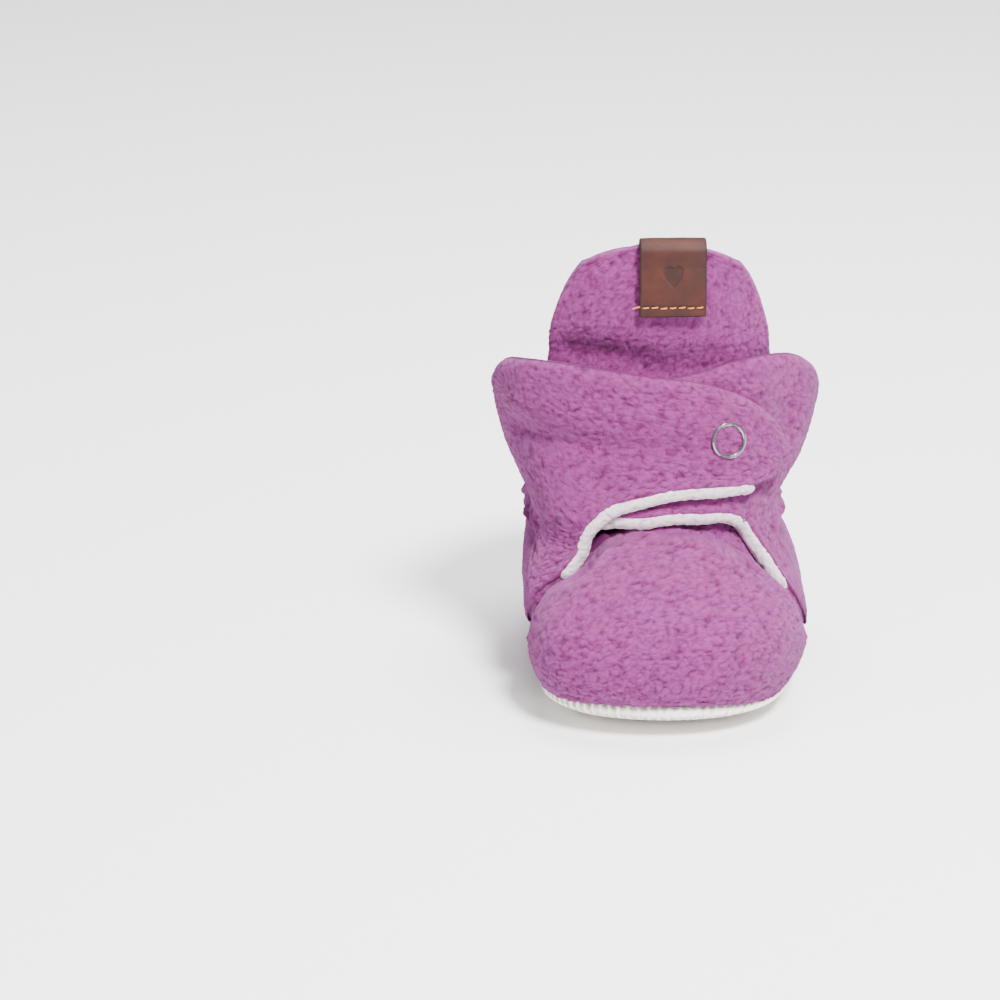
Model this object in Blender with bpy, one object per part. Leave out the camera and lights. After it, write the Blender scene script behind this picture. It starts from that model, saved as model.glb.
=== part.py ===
"""A soft baby bootie for a left foot, standing on its sole.

The toe points to -Y, the inner side of the foot is at -X, and +Z is up. The origin is on the ground
face of the outsole. A front piece (vamp and tongue) lies under a back piece (heel with two wings). The
inner wing is the strap: it crosses the front of the ankle over the outer wing, the flap, and a snap
holds the two together. All lengths in this script are in millimetres; meshes are made in metres.
"""
import math

import bmesh
import bpy
import numpy as np
from mathutils import Matrix, Vector

MM = 0.001

# ---------------------------------------------------------------- cloth thicknesses and gaps
SHELL = 1.8
LINING = 1.5
GAP = 0.35
WALL = SHELL + GAP + LINING
STRAP_LIFT = WALL + 1.1
FRONT_CLEAR = WALL + 1.5
LOW_CLEAR = 3.4
LOW_CLEAR_Z = (32.0, 18.0)
COVER_FADE = (-20.0, -3.0)
PANEL_HANG = 3.0
PANEL_HANG_Z = (36.0, 42.0)
INSTEP_COVER = [(45.0, 10.0), (49.0, 0.0)]

# ---------------------------------------------------------------- sole
SOLE_POINTS = [
    (6, 59), (-10, 53), (-19, 38), (-22, 10), (-25, -16), (-33.2, -33), (-30.5, -48), (-17.5, -57.5),
    (3, -59.5), (21, -53), (32, -38), (34.5, -14), (31, 18), (28, 42), (19, 56),
]
OUTSOLE = 1.6
PADDING = 4.0
INSOLE = 1.5
FLAT_SHARE = 0.78
TOE_FLAT_SHARE = 0.64
CUP_POWER = 1.7
RING_SHARES = (1.0, 0.96, 0.88, FLAT_SHARE, TOE_FLAT_SHARE)
FOREFOOT_HALF = 34.0
HEEL_END = 0.0
FOREFOOT_FROM = -35.0
SEAM_INSET = 1.0
PANEL_OVERLAP_Y = -4.0
PANEL_OVERLAP_REACH = 15.0
PANEL_OVERLAP_INSET = 8.2
INSOLE_INSET = 0.6
EDGE_RISE_HEEL = 2.0
EDGE_RISE_TOE = 2.2
SIDE_RISE_TOE = 5.0
TOE_SPRING = 4.2
TOE_SPRING_FROM = -42.0
TOE_SPRING_REACH = 17.0

# ---------------------------------------------------------------- vamp and tongue
DOME_CENTRE = (0.0, -28.0)
DOME_TOP = 46.5
DOME_SLOPE = 0.30
BULGE_HEIGHT = 15.0
UNDER_ANGLE = math.radians(112)
DOME_POWER = 0.87
# Stations of the front piece behind the dome: v, ridge y, ridge z, edge y, edge z, half width,
# centre x, share of the depth that is above the widest line, angle at the edge (degrees).
FRONT_STATIONS = [
    (0.0, -28.0, 46.5, -28.0, 8.9, 34.0, 0.0, 0.80, 112),
    (0.5, -26.2, 47.2, -17.0, 6.9, 32.0, 2.0, 0.80, 108),
    (1.0, -24.6, 48.2, -6.0, 5.4, 30.0, 3.5, 0.82, 104),
    (1.5, -23.2, 49.6, 3.0, 9.0, 28.5, 3.0, 0.88, 98),
    (2.0, -22.0, 51.2, 6.0, 24.0, 27.5, 0.5, 0.95, 93),
    (2.5, -20.8, 53.4, 2.0, 42.0, 27.0, -1.0, 1.0, 90),
]
TONGUE_PROFILE = [
    (53.4, -20.8), (60, -17.6), (70, -14.6), (80, -12.6), (92, -10.6), (105, -8.6), (118, -7.0),
]
TONGUE_HALF_WIDTH = 28.5
TONGUE_CENTRE = -1.5
TONGUE_ROUND_FROM = 84.0
TONGUE_TOP = 117.4
TONGUE_ROUND_POWER = 2.3
TONGUE_BASE_HALF = [(53.4, 27.0), (66, TONGUE_HALF_WIDTH), (120, TONGUE_HALF_WIDTH)]
TONGUE_SIDE_BACK = [(53.4, 22.8), (66, 15), (84, 12), (118, 8)]
TONGUE_SIDE_DROP = [(53.4, 11.4), (66, 4), (84, 0), (118, 0)]

# ---------------------------------------------------------------- wrap (heel and wings), by height z
WRAP_HALF_WIDTH = [(4, 30), (10, 35.5), (18, 37.2), (28, 36.5), (36, 34.2), (42.5, 32.4), (49, 35),
                   (58, 39.5), (68, 42.5), (80, 44.5), (90, 45.5)]
WRAP_CENTRE_X = [(4, 4.0), (18, 0.6), (28, -0.8), (42.5, -2.6), (58, -2.3), (90, -2.0)]
WRAP_CENTRE_Y = [(4, 12), (30, 11), (50, 10), (90, 10)]
WRAP_FRONT_Y = [(4, -27), (16, -34), (30, -35.5), (37, -34.6), (42, -32.8), (48, -29.6), (54, -26),
                (60, -22.4), (70, -19.2), (80, -17.2), (90, -15.6)]
WRAP_BACK_Y = [(4, 60), (12, 62), (24, 61.5), (36, 57), (43, 53.5), (52, 54.5), (66, 55.5), (84, 56)]
WRAP_CORNER = [(4, 0.40), (14, 0.16), (38, 0.16), (48, 0.42), (60, 0.58), (80, 0.68), (90, 0.7)]
BACK_CORNER = 0.54
RAY_CENTRE = (4.0, 12.0)
BOTTOM_BLEND = 16.0

# ---------------------------------------------------------------- wing and panel edges, angle -> z
# The angle is 0 at the front, -90 at the inner ear, +90 at the outer ear and 180 at the back.
SPLIT_Z = 46.6
INNER_LOW_EDGE = [(-82, 5.0), (-79, 14), (-72, 24), (-60, 30.5), (-48, 35), (-38, 40), (-26, 44.2)]
OUTER_LOW_EDGE = [(26, 44.2), (40, 43), (52, 39.5), (62, 33.5), (71, 25), (78, 14), (82, 5.0)]
CUFF_TOP = [(90, 76), (105, 73.5), (120, 71.5), (150, 70), (180, 69.5), (210, 70), (240, 70.5), (255, 73),
            (270, 78)]
STRAP_TOP = [(-90, 78), (-70, 82.5), (-40, 85.8), (-10, 86), (10, 84), (24, 80), (34, 74), (40, 68),
             (45, 62)]
STRAP_LOW = [(-90, 49.4), (-60, 48.8), (-40, 48.4), (-26, 48.6), (-12, 53.5), (0, 56.5), (16, 56.8),
             (28, 54.6), (38, 51), (45, 53)]
STRAP_ANGLES = (-85.0, 45.0)
FLAP_TOP = [(-26, 74), (-18, 80.5), (0, 84.5), (30, 85.4), (55, 83), (75, 79.5), (90, 76)]
FLAP_LOW = [(-26, 56), (-18, 50), (0, 49), (24, 48.8), (60, 48.8), (90, 49.4)]
FLAP_ANGLES = (-26.0, 87.0)

# ---------------------------------------------------------------- elastic
ELASTIC_Z = (40.2, 45.8)
ELASTIC_ANGLES = (98.0, 262.0)
ELASTIC_THICKNESS = 0.9
CHANNEL_DEPTH = 1.5
CHANNEL_ROWS = (38.2, 39.6, 43.0, 46.2, 46.5)
CHANNEL_TOP = 48.9
CHANNEL_ANGLES = (92.0, 268.0)
HEEL_ANGLES = (27, 36, 46, 54, 60, 66, 72, 77, 82, 86, 89.6, 90.4, *np.linspace(*ELASTIC_ANGLES, 20),
               269.6, 270.4, 274, 278, 283, 288, 294, 301, 309, 318, 326, 333)

# ---------------------------------------------------------------- snap
SNAP_ANGLE = 22.0
SNAP_Z = 69.3
RING_RADIUS = 4.4
RING_WIRE = 0.5
PRONGS = 5
PRONG_RADIUS = 0.35
PRONG_CIRCLE = 4.0
PRONG_HOLE = 0.7
POCKET_RADIUS = 5.4
DISC_RADIUS = 5.0
SOCKET_HOLE = 3.1
STUD_HEAD = 1.6
SOCKET_DEPTH = 0.85
SOCKET_PROUD = 0.35
STUD_BASE = 0.75
BACK_RING_RADII = (3.4, 4.8)
BACK_RING_DEPTH = 0.9
POCKET_GAP = 0.3
PIN_LAP = 0.15

# ---------------------------------------------------------------- label
LABEL_WIDTH = 17.6
LABEL_CENTRE = 1.1
LABEL_DROP = 18.4
LABEL_THICKNESS = 1.1
LABEL_GAP = 0.8
LABEL_FOLD = 1.2
LABEL_BACK = 1.0

# ---------------------------------------------------------------- hinges
STRAP_HINGE = (-44.6, 10.0, 63.0)
FLAP_HINGE = (40.6, 10.0, 63.0)
TONGUE_HINGE = (0.0, -20.8, 53.4)
HINGE_LEAN = math.radians(6)


# ================================================================ curves
def curve(knots, x):
    """Smooth curve through (x, y) knots, flat outside them."""
    kx, ky = np.array(knots, float).T
    x = np.asarray(x, float)
    slope = np.gradient(ky, kx)
    i = np.clip(np.searchsorted(kx, x) - 1, 0, len(kx) - 2)
    step = kx[i + 1] - kx[i]
    t = np.clip((x - kx[i]) / step, 0, 1)
    ends = ky[i] * (1 + 2 * t) * (1 - t) ** 2 + ky[i + 1] * t * t * (3 - 2 * t)
    return ends + step * t * (1 - t) * (slope[i] * (1 - t) - slope[i + 1] * t)


def ease(low, high, x):
    """0 below low, 1 above high, smooth between."""
    t = np.clip((np.asarray(x, float) - low) / (high - low), 0, 1)
    return t * t * (3 - 2 * t)


def closed_spline(points, per_span):
    """Catmull-Rom curve through a closed ring of points."""
    ring = np.array(points, float)
    before, after, beyond = np.roll(ring, 1, 0), np.roll(ring, -1, 0), np.roll(ring, -2, 0)
    rows = []
    for t in np.arange(per_span) / per_span:
        rows.append(0.5 * (2 * ring + (after - before) * t
                           + (2 * before - 5 * ring + 4 * after - beyond) * t ** 2
                           + (3 * ring - before - 3 * after + beyond) * t ** 3))
    return np.stack(rows, 1).reshape(-1, 2)


OUTLINE = closed_spline(SOLE_POINTS, 24)


def outline_reach(centre, direction):
    """Distance from a centre to the sole outline along plan directions (radians from +X)."""
    offset = OUTLINE - np.array(centre)
    angle = np.arctan2(offset[:, 1], offset[:, 0])
    order = np.argsort(angle)
    return np.interp(direction, angle[order], np.hypot(*offset.T)[order], period=2 * math.pi)


def sole_bottom(x, y):
    """Height of the outsole's underside: flat in the middle, cupped at the edge, up at the toe."""
    share = np.hypot(x, y) / outline_reach((0, 0), np.arctan2(y, x))
    forefoot = ease(HEEL_END, FOREFOOT_FROM, y)
    rise = EDGE_RISE_HEEL + (EDGE_RISE_TOE - EDGE_RISE_HEEL) * forefoot
    rise += SIDE_RISE_TOE * forefoot * (x / FOREFOOT_HALF) ** 2
    flat = FLAT_SHARE + (TOE_FLAT_SHARE - FLAT_SHARE) * forefoot
    cup = rise * np.clip((share - flat) / (1 - flat), 0, 1.1) ** CUP_POWER
    spring = TOE_SPRING * np.clip((TOE_SPRING_FROM - y) / TOE_SPRING_REACH, 0, 1.1) ** 2
    return cup + spring


# ================================================================ cloth surfaces
def wrap_surface(angle, z, lift=0.0):
    """Outer face of the back piece at an angle (degrees) round the ankle and a height."""
    angle, z, lift = np.broadcast_arrays(np.asarray(angle, float), z, lift)
    phi = np.radians(angle)
    cx = curve(WRAP_CENTRE_X, z)
    cy = curve(WRAP_CENTRE_Y, z)
    half = curve(WRAP_HALF_WIDTH, z) + lift
    front = cy - curve(WRAP_FRONT_Y, z) + lift
    back = curve(WRAP_BACK_Y, z) - cy + lift
    cosine = np.cos(phi)
    corner = np.where(cosine > 0, curve(WRAP_CORNER, z), BACK_CORNER)
    depth = np.abs(cosine) ** (2 * corner)
    x = cx + half * np.sin(phi)
    y = cy + np.where(cosine > 0, -front, back) * depth
    direction = np.arctan2(y - RAY_CENTRE[1], x - RAY_CENTRE[0])
    reach = np.hypot(x - RAY_CENTRE[0], y - RAY_CENTRE[1])
    seam = outline_reach(RAY_CENTRE, direction) + lift
    keep = ease(4, BOTTOM_BLEND, z)
    reach = seam + (reach - seam) * keep
    x = RAY_CENTRE[0] + reach * np.cos(direction)
    y = RAY_CENTRE[1] + reach * np.sin(direction)
    return np.stack([x, y, z], -1)


def wrap_offset(surface, angle, z, distance):
    """Points under a face of the back piece, at a distance along its normals."""
    turn, rise = 2.0, 1.0
    angle, z = np.broadcast_arrays(np.asarray(angle, float), np.asarray(z, float))
    along = surface(angle + turn, z) - surface(angle - turn, z)
    normal = np.cross(along, surface(angle, z + rise) - surface(angle, z - rise))
    normal /= np.linalg.norm(normal, axis=-1, keepdims=True)
    return surface(angle, z) - normal * np.asarray(distance)[..., None]


def cover_angle(z, knots):
    """Angle of a panel's front edge at a height, closing over the instep above it."""
    edge = [(height - float(PANEL_HANG * ease(*PANEL_HANG_Z, height)), abs(angle)) for angle, height in knots]
    heights = sorted(edge + INSTEP_COVER)
    return np.interp(z, [h for h, _ in heights], [a for _, a in heights])


def tuck(points):
    """Press the front piece in where the back piece covers it."""
    x, y, z = np.moveaxis(points, -1, 0)
    level = np.clip(z, 4, 90)
    cx = curve(WRAP_CENTRE_X, level)
    cy = curve(WRAP_CENTRE_Y, level)
    bearing = np.arctan2(x - cx, cy - y)
    low, high = np.full(z.shape, -180.0), np.full(z.shape, 180.0)
    clear = FRONT_CLEAR + LOW_CLEAR * ease(*LOW_CLEAR_Z, z)
    for _ in range(16):
        phi = (low + high) / 2
        inside = wrap_surface(phi, level, -clear)
        behind = np.arctan2(inside[..., 0] - cx, cy - inside[..., 1]) < bearing
        low, high = np.where(behind, phi, low), np.where(behind, high, phi)
    room = np.hypot(inside[..., 0] - cx, inside[..., 1] - cy)
    reach = np.hypot(x - cx, y - cy)
    edge = np.where(phi < 0, cover_angle(z, INNER_LOW_EDGE), cover_angle(z, OUTER_LOW_EDGE))
    covered = ease(*COVER_FADE, np.abs(phi) - edge)
    scale = 1 + covered * (np.minimum(1, room / np.maximum(reach, 0.1)) - 1)
    return np.stack([cx + (x - cx) * scale, cy + (y - cy) * scale, z], -1)


def arch(alpha, above, under):
    """Side reach and drop of an arch, 0 at its ridge and 1 at its edge."""
    reach = np.sin(np.minimum(alpha, math.pi / 2)) ** DOME_POWER
    reach = np.where(alpha > math.pi / 2, np.sin(alpha), reach) / np.sin(under)
    upper = above * (1 - np.cos(np.minimum(alpha, math.pi / 2)) ** DOME_POWER)
    turn = np.maximum(-np.cos(under), 1e-6)
    lower = (1 - above) * np.maximum(-np.cos(alpha), 0) / turn
    return reach, upper + lower


def dome_surface(u, v):
    """Toe dome: u runs across, v runs from the toe seam (-1) to the widest arch (0)."""
    px = u * np.sqrt(1 - v * v / 2)
    py = v * np.sqrt(1 - u * u / 2)
    alpha = np.hypot(px, py) * UNDER_ANGLE
    direction = np.arctan2(py, px)
    seam_reach = outline_reach(DOME_CENTRE, direction)
    side, _ = arch(alpha, 1.0, UNDER_ANGLE)
    x = DOME_CENTRE[0] + np.cos(direction) * seam_reach * side
    y = DOME_CENTRE[1] + np.sin(direction) * seam_reach * side
    seam_x = DOME_CENTRE[0] + np.cos(direction) * seam_reach
    seam_y = DOME_CENTRE[1] + np.sin(direction) * seam_reach
    seam_z = sole_bottom(seam_x, seam_y) + OUTSOLE + GAP
    top = DOME_TOP + DOME_SLOPE * (y - DOME_CENTRE[1])
    above = BULGE_HEIGHT + (top - BULGE_HEIGHT) * np.cos(np.minimum(alpha, math.pi / 2)) ** DOME_POWER
    below = BULGE_HEIGHT + (BULGE_HEIGHT - seam_z) * np.cos(alpha) / -math.cos(UNDER_ANGLE)
    return np.stack([x, y, np.where(alpha > math.pi / 2, below, above)], -1)


def station_surface(u, v):
    """Front piece behind the dome, from the widest arch (v = 0) to the instep crease."""
    table = np.array(FRONT_STATIONS)
    ridge_y, ridge_z, edge_y, edge_z, half, centre, above, under = (
        curve(np.stack([table[:, 0], column], 1), v) for column in table[:, 1:].T)
    under = np.radians(under)
    side, drop = arch(np.abs(u) * under, above, under)
    x = centre + np.sign(u) * half * side
    return np.stack([x, ridge_y + (edge_y - ridge_y) * drop, ridge_z + (edge_z - ridge_z) * drop], -1)


def front_surface(u, v):
    """Outer face of the vamp, from the toe seam (v = -1) to the instep crease (v = 2.5)."""
    u, v = np.broadcast_arrays(np.asarray(u, float), np.asarray(v, float))
    dome = dome_surface(u, np.minimum(v, 0))
    behind = station_surface(u, np.maximum(v, 0))
    return tuck(np.where((v < 0)[..., None], dome, behind))


def tongue_half_width(z):
    """Half width of the tongue, with its round top end."""
    share = np.clip((z - TONGUE_ROUND_FROM) / (TONGUE_TOP - TONGUE_ROUND_FROM), 0, 1)
    return TONGUE_HALF_WIDTH * (1 - share ** TONGUE_ROUND_POWER) ** (1 / TONGUE_ROUND_POWER)


def tongue_surface(u, z):
    """Outer face of the tongue: u runs across, z is the height of its middle line."""
    u, z = np.broadcast_arrays(np.asarray(u, float), np.asarray(z, float))
    across = u * tongue_half_width(z) / TONGUE_HALF_WIDTH
    base_half = curve(TONGUE_BASE_HALF, z)
    side, drop = arch(np.abs(across) * math.pi / 2, 1.0, math.pi / 2)
    depth_y = curve(TONGUE_SIDE_BACK, z)
    depth_z = curve(TONGUE_SIDE_DROP, z)
    x = TONGUE_CENTRE + 0.5 * ease(64, 53.4, z) + np.sign(u) * base_half * side
    points = np.stack([x, curve(TONGUE_PROFILE, z) + depth_y * drop, z - depth_z * drop], -1)
    return tuck(points)


def strap_surface(angle, z):
    """Outer face of the strap, lifted over the flap that it covers."""
    angle, z = np.broadcast_arrays(np.asarray(angle, float), np.asarray(z, float))
    return wrap_surface(angle, z, STRAP_LIFT * ease(STRAP_ANGLES[0], -38, angle))


def normals(grid, rounds=1):
    """Outward directions of a grid of surface points, evened out over neighbours."""
    normal = np.cross(np.gradient(grid, axis=0), np.gradient(grid, axis=1))
    normal /= np.maximum(np.linalg.norm(normal, axis=-1, keepdims=True), 1e-9)
    for i in (0, -1):
        for j in (0, -1):
            normal[i, j] = normal[i, 1 if j == 0 else -2] + normal[1 if i == 0 else -2, j]
    for _ in range(rounds):
        pad = np.pad(normal, ((1, 1), (1, 1), (0, 0)), mode="edge")
        normal = 2 * normal + pad[:-2, 1:-1] + pad[2:, 1:-1] + pad[1:-1, :-2] + pad[1:-1, 2:]
        normal /= np.linalg.norm(normal, axis=-1, keepdims=True)
    return normal


def inward(grid, distance, rounds=1):
    """Move a grid of surface points inward along its own normals."""
    return grid - normals(grid, rounds) * np.asarray(distance)[..., None]


# ================================================================ mesh tools
def material(name, colour, roughness, metallic=0.0):
    """One plain material with the piece's own colour."""
    made = bpy.data.materials.new(name)
    made.use_nodes = True
    shader = made.node_tree.nodes["Principled BSDF"]
    shader.inputs["Base Color"].default_value = (*colour, 1.0)
    shader.inputs["Roughness"].default_value = roughness
    shader.inputs["Metallic"].default_value = metallic
    return made


def add_object(name, mesh, look):
    """Link a mesh to the scene as one named piece."""
    mesh.materials.append(look)
    piece = bpy.data.objects.new(name, mesh)
    bpy.context.collection.objects.link(piece)
    return piece


def finish_mesh(name, body, smooth_below=40):
    """Turn a bmesh into a mesh whose faces point outward."""
    bmesh.ops.recalc_face_normals(body, faces=body.faces)
    mesh = bpy.data.meshes.new(name)
    body.to_mesh(mesh)
    body.free()
    mesh.shade_smooth()
    mesh.set_sharp_from_angle(angle=math.radians(smooth_below))
    return mesh


def slab(name, look, outer, inner):
    """A closed cloth piece between two grids of points."""
    rows, columns = outer.shape[:2]
    body = bmesh.new()
    skins = []
    for grid in (outer, inner):
        skins.append([[body.verts.new(Vector(point) * MM) for point in row] for row in grid])
    for skin in skins:
        for i in range(rows - 1):
            for j in range(columns - 1):
                body.faces.new((skin[i][j], skin[i + 1][j], skin[i + 1][j + 1], skin[i][j + 1]))
    rim = [(i, 0) for i in range(rows)] + [(rows - 1, j) for j in range(1, columns)]
    rim += [(i, columns - 1) for i in range(rows - 2, -1, -1)] + [(0, j) for j in range(columns - 2, 0, -1)]
    for (i, j), (k, m) in zip(rim, rim[1:] + rim[:1]):
        body.faces.new((skins[0][i][j], skins[0][k][m], skins[1][k][m], skins[1][i][j]))
    return add_object(name, finish_mesh(name, body), look)


def shell_and_lining(name, shell_grid, lining_grid, rounds=1):
    """Outer cloth and lining of one cloth part."""
    full = np.zeros(shell_grid.shape[:2])
    slab(f"{name}_shell", fleece, shell_grid, inward(shell_grid, full + SHELL, rounds))
    slab(f"{name}_lining", lining, inward(lining_grid, full + SHELL + GAP, rounds),
         inward(lining_grid, full + WALL, rounds))


def clear_scene():
    """Remove the objects of the scene that the script starts in."""
    for piece in list(bpy.data.objects):
        bpy.data.objects.remove(piece, do_unlink=True)


# ================================================================ sole
def inset_outline(inset, points=48):
    """The sole outline moved inward, at even steps round the sole."""
    ring = OUTLINE[np.linspace(0, len(OUTLINE), points, endpoint=False).astype(int)]
    ahead = np.roll(ring, -1, 0) - np.roll(ring, 1, 0)
    inner_side = np.stack([ahead[:, 1], -ahead[:, 0]], 1)
    inner_side /= np.linalg.norm(inner_side, axis=1, keepdims=True)
    side = 1 if np.mean(np.sum(inner_side * ring, 1)) < 0 else -1
    return ring + inner_side * side * np.broadcast_to(inset, (points,))[:, None]


def sole_layer(name, look, inset, base, thickness):
    """One layer of the sole, following the underside's curve."""
    ring = inset_outline(inset)
    body = bmesh.new()
    skins = []
    for level in (base, base + thickness):
        rings = []
        for share in RING_SHARES:
            plan = ring * share
            height = sole_bottom(plan[:, 0], plan[:, 1]) + level
            rings.append([body.verts.new(Vector((x, y, z)) * MM)
                          for (x, y), z in zip(plan, height)])
        rings.append(body.verts.new(Vector((0, 0, level)) * MM))
        skins.append(rings)
    for rings in skins:
        for outer, inner in zip(rings[:4], rings[1:5]):
            bridge(body, outer, inner)
        for first, second in zip(rings[4], rings[4][1:] + rings[4][:1]):
            body.faces.new((first, second, rings[5]))
    bridge(body, skins[0][0], skins[1][0])
    return add_object(name, finish_mesh(name, body), look)


def bridge(body, first, second):
    """Join two rings of vertices with quads."""
    for i in range(len(first)):
        k = (i + 1) % len(first)
        body.faces.new((first[i], first[k], second[k], second[i]))


def make_sole():
    sole_layer("outsole", canvas, 0.0, 0.0, OUTSOLE)
    ring_y = inset_outline(0.0)[:, 1]
    overlap = np.exp(-((ring_y - PANEL_OVERLAP_Y) / PANEL_OVERLAP_REACH) ** 2)
    inner_inset = WALL + SEAM_INSET + PANEL_OVERLAP_INSET * overlap
    base = OUTSOLE + 2 * GAP
    sole_layer("sole_padding", foam, inner_inset, base, PADDING)
    sole_layer("insole_lining", lining, inner_inset + INSOLE_INSET, base + PADDING + GAP, INSOLE)


# ================================================================ front piece
def make_vamp():
    grids = []
    for last in (2.46, 2.34):
        stations = np.concatenate([np.linspace(-1, 0, 10), [0.4, 0.8, 1.2, 1.6, 2.05, last]])
        u, v = np.meshgrid(np.linspace(-1, 1, 21), stations, indexing="ij")
        grids.append(front_surface(u, v))
    shell_and_lining("vamp", *grids, rounds=6)


def make_tongue():
    grids = []
    for first, width in ((53.8, 1.0), (55.4, 0.98)):
        heights = np.concatenate([np.linspace(first, 90, 6), [97, 103, 108, 112, 115, 116.7]])
        u, z = np.meshgrid(np.linspace(-width, width, 15), heights, indexing="ij")
        grids.append(tongue_surface(u, z))
    shell_and_lining("tongue", *grids)


def make_label():
    """A strip folded over the tongue's top edge, sewn on with its two ends down."""
    body = bmesh.new()
    rings = []
    for x in (LABEL_CENTRE - LABEL_WIDTH / 2, LABEL_CENTRE + LABEL_WIDTH / 2):
        rings.append([body.verts.new(Vector((x, y, z)) * MM) for y, z in label_section()])
    bridge(body, *rings)
    body.faces.new(rings[0])
    body.faces.new(rings[1])
    add_object("leather_label", finish_mesh("leather_label", body), leather)


def label_section():
    """Closed U section of the label, with flat sides and a round fold."""
    top = TONGUE_TOP + 2 * GAP - LABEL_FOLD
    low = top - LABEL_DROP
    front_low, front_top = (float(curve(TONGUE_PROFILE, z)) - LABEL_GAP for z in (low, top))
    depth = WALL + LABEL_BACK + 2 * LABEL_GAP
    middle, reach, thick = front_top + depth / 2, depth / 2, LABEL_THICKNESS
    turns = [math.pi * k / 8 for k in range(9)]
    outer = [(middle - (reach + thick) * math.cos(a), top + (LABEL_FOLD + thick) * math.sin(a))
             for a in turns]
    inner = [(middle - reach * math.cos(a), top + LABEL_FOLD * math.sin(a)) for a in turns]
    ends = [(front_low + depth + thick, low), (front_low + depth, low)]
    return [(front_low - thick, low)] + outer + ends + inner[::-1] + [(front_low, low)]


# ================================================================ back piece
def panel_limits(angle):
    """Bottom and top heights of the heel panel at an angle from 24 (outer) to 336 (inner)."""
    seam_edge = wrap_surface(angle, 4.0)
    seam = sole_bottom(seam_edge[0], seam_edge[1]) + OUTSOLE + GAP
    low = seam
    if angle < OUTER_LOW_EDGE[-1][0]:
        low = max(seam, float(curve(OUTER_LOW_EDGE, angle)))
    if angle > 360 + INNER_LOW_EDGE[0][0]:
        low = max(seam, float(curve(INNER_LOW_EDGE, angle - 360)))
    high = float(curve(CUFF_TOP, angle)) if 90 < angle < 270 else SPLIT_Z
    return low, high


def make_heel():
    heights = np.stack([heel_heights(*panel_limits(angle)) for angle in HEEL_ANGLES])
    extra = np.stack([CHANNEL_DEPTH * channel_share(row, angle) for row, angle in zip(heights, HEEL_ANGLES)])
    turn = np.array(HEEL_ANGLES)[:, None]
    skins = [wrap_offset(wrap_surface, turn, heights, depth)
             for depth in (0 * extra, 0 * extra + SHELL, SHELL + GAP + extra, WALL + extra)]
    slab("heel_shell", fleece, skins[0], skins[1])
    slab("heel_lining", lining, skins[2], skins[3])


def heel_heights(low, high):
    """Rows of the heel panel, with rows on both sides of the elastic's channel."""
    if high <= SPLIT_Z:
        return np.linspace(low, high, 13)
    return np.concatenate([low + (CHANNEL_ROWS[0] - low) * np.linspace(0, 1, 6)[:-1], CHANNEL_ROWS,
                           SPLIT_Z + (high - SPLIT_Z) * np.linspace(0.3, 1, 3)])


def channel_share(heights, angle):
    """How far the lining stands off for the elastic."""
    if not CHANNEL_ANGLES[0] < angle < CHANNEL_ANGLES[1]:
        return np.zeros(len(heights))
    return ease(*CHANNEL_ROWS[:2], heights) * ease(CHANNEL_TOP, SPLIT_Z, heights)


def make_elastic():
    low, high = ELASTIC_Z
    angle, z = np.meshgrid(np.linspace(*ELASTIC_ANGLES, 20), np.linspace(low, high, 3), indexing="ij")
    slab("ankle_elastic", elastic, wrap_offset(wrap_surface, angle, z, SHELL + GAP),
         wrap_offset(wrap_surface, angle, z, SHELL + GAP + ELASTIC_THICKNESS))


def make_wing(name, surface, angles, low, high, count):
    """Shell and lining of a wing between its lower and upper edge, the lining a little smaller."""
    cloths = (("shell", fleece, 0.0, 0.0, SHELL), ("lining", lining, 0.4, SHELL + GAP, WALL))
    for part, look, trim, outer, inner in cloths:
        turn = np.linspace(angles[0] + 3 * trim, angles[1] - 3 * trim, count)[:, None]
        share = np.linspace(0, 1, 7)
        bottom, top = curve(low, turn) + trim, curve(high, turn) - trim
        heights = bottom + (top - bottom) * share
        slab(f"{name}_{part}", look, wrap_offset(surface, turn, heights, outer),
             wrap_offset(surface, turn, heights, inner))


def make_wings():
    make_wing("strap", strap_surface, STRAP_ANGLES, STRAP_LOW, STRAP_TOP, 22)
    make_wing("flap", wrap_surface, FLAP_ANGLES, FLAP_LOW, FLAP_TOP, 20)


# ================================================================ snap
def snap_frame():
    """Matrix whose origin is on the strap's face and whose +Z points out of it (metres)."""
    step = 0.5
    here = strap_surface(SNAP_ANGLE, SNAP_Z)
    along = strap_surface(SNAP_ANGLE + step, SNAP_Z) - strap_surface(SNAP_ANGLE - step, SNAP_Z)
    up = strap_surface(SNAP_ANGLE, SNAP_Z + step) - strap_surface(SNAP_ANGLE, SNAP_Z - step)
    axis_x = Vector(along).normalized()
    axis_z = axis_x.cross(Vector(up)).normalized()
    axis_y = axis_z.cross(axis_x)
    frame = Matrix((axis_x, axis_y, axis_z)).transposed().to_4x4()
    frame.translation = Vector(here) * MM
    return frame


def turned(body, profile, segments=28):
    """Add a closed ring turned from a closed (radius, height) profile."""
    rings = []
    for k in range(segments):
        turn = 2 * math.pi * k / segments
        rings.append([body.verts.new(Vector((r * math.cos(turn), r * math.sin(turn), h)) * MM)
                      for r, h in profile])
    for first, second in zip(rings, rings[1:] + rings[:1]):
        bridge(body, first, second)


def rod(body, x, y, radius, low, high, sides):
    """Add a capped upright rod."""
    ends = []
    for height in (low, high):
        ends.append([body.verts.new(Vector((x + radius * math.cos(2 * math.pi * k / sides),
                                            y + radius * math.sin(2 * math.pi * k / sides), height)) * MM)
                     for k in range(sides)])
    bridge(body, ends[0], ends[1])
    body.faces.new(ends[0])
    body.faces.new(ends[1])


def prong_places():
    """Centres of the prongs round the snap's axis."""
    turns = [2 * math.pi * (k + 0.5) / PRONGS for k in range(PRONGS)]
    return [(PRONG_CIRCLE * math.cos(turn), PRONG_CIRCLE * math.sin(turn)) for turn in turns]


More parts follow.
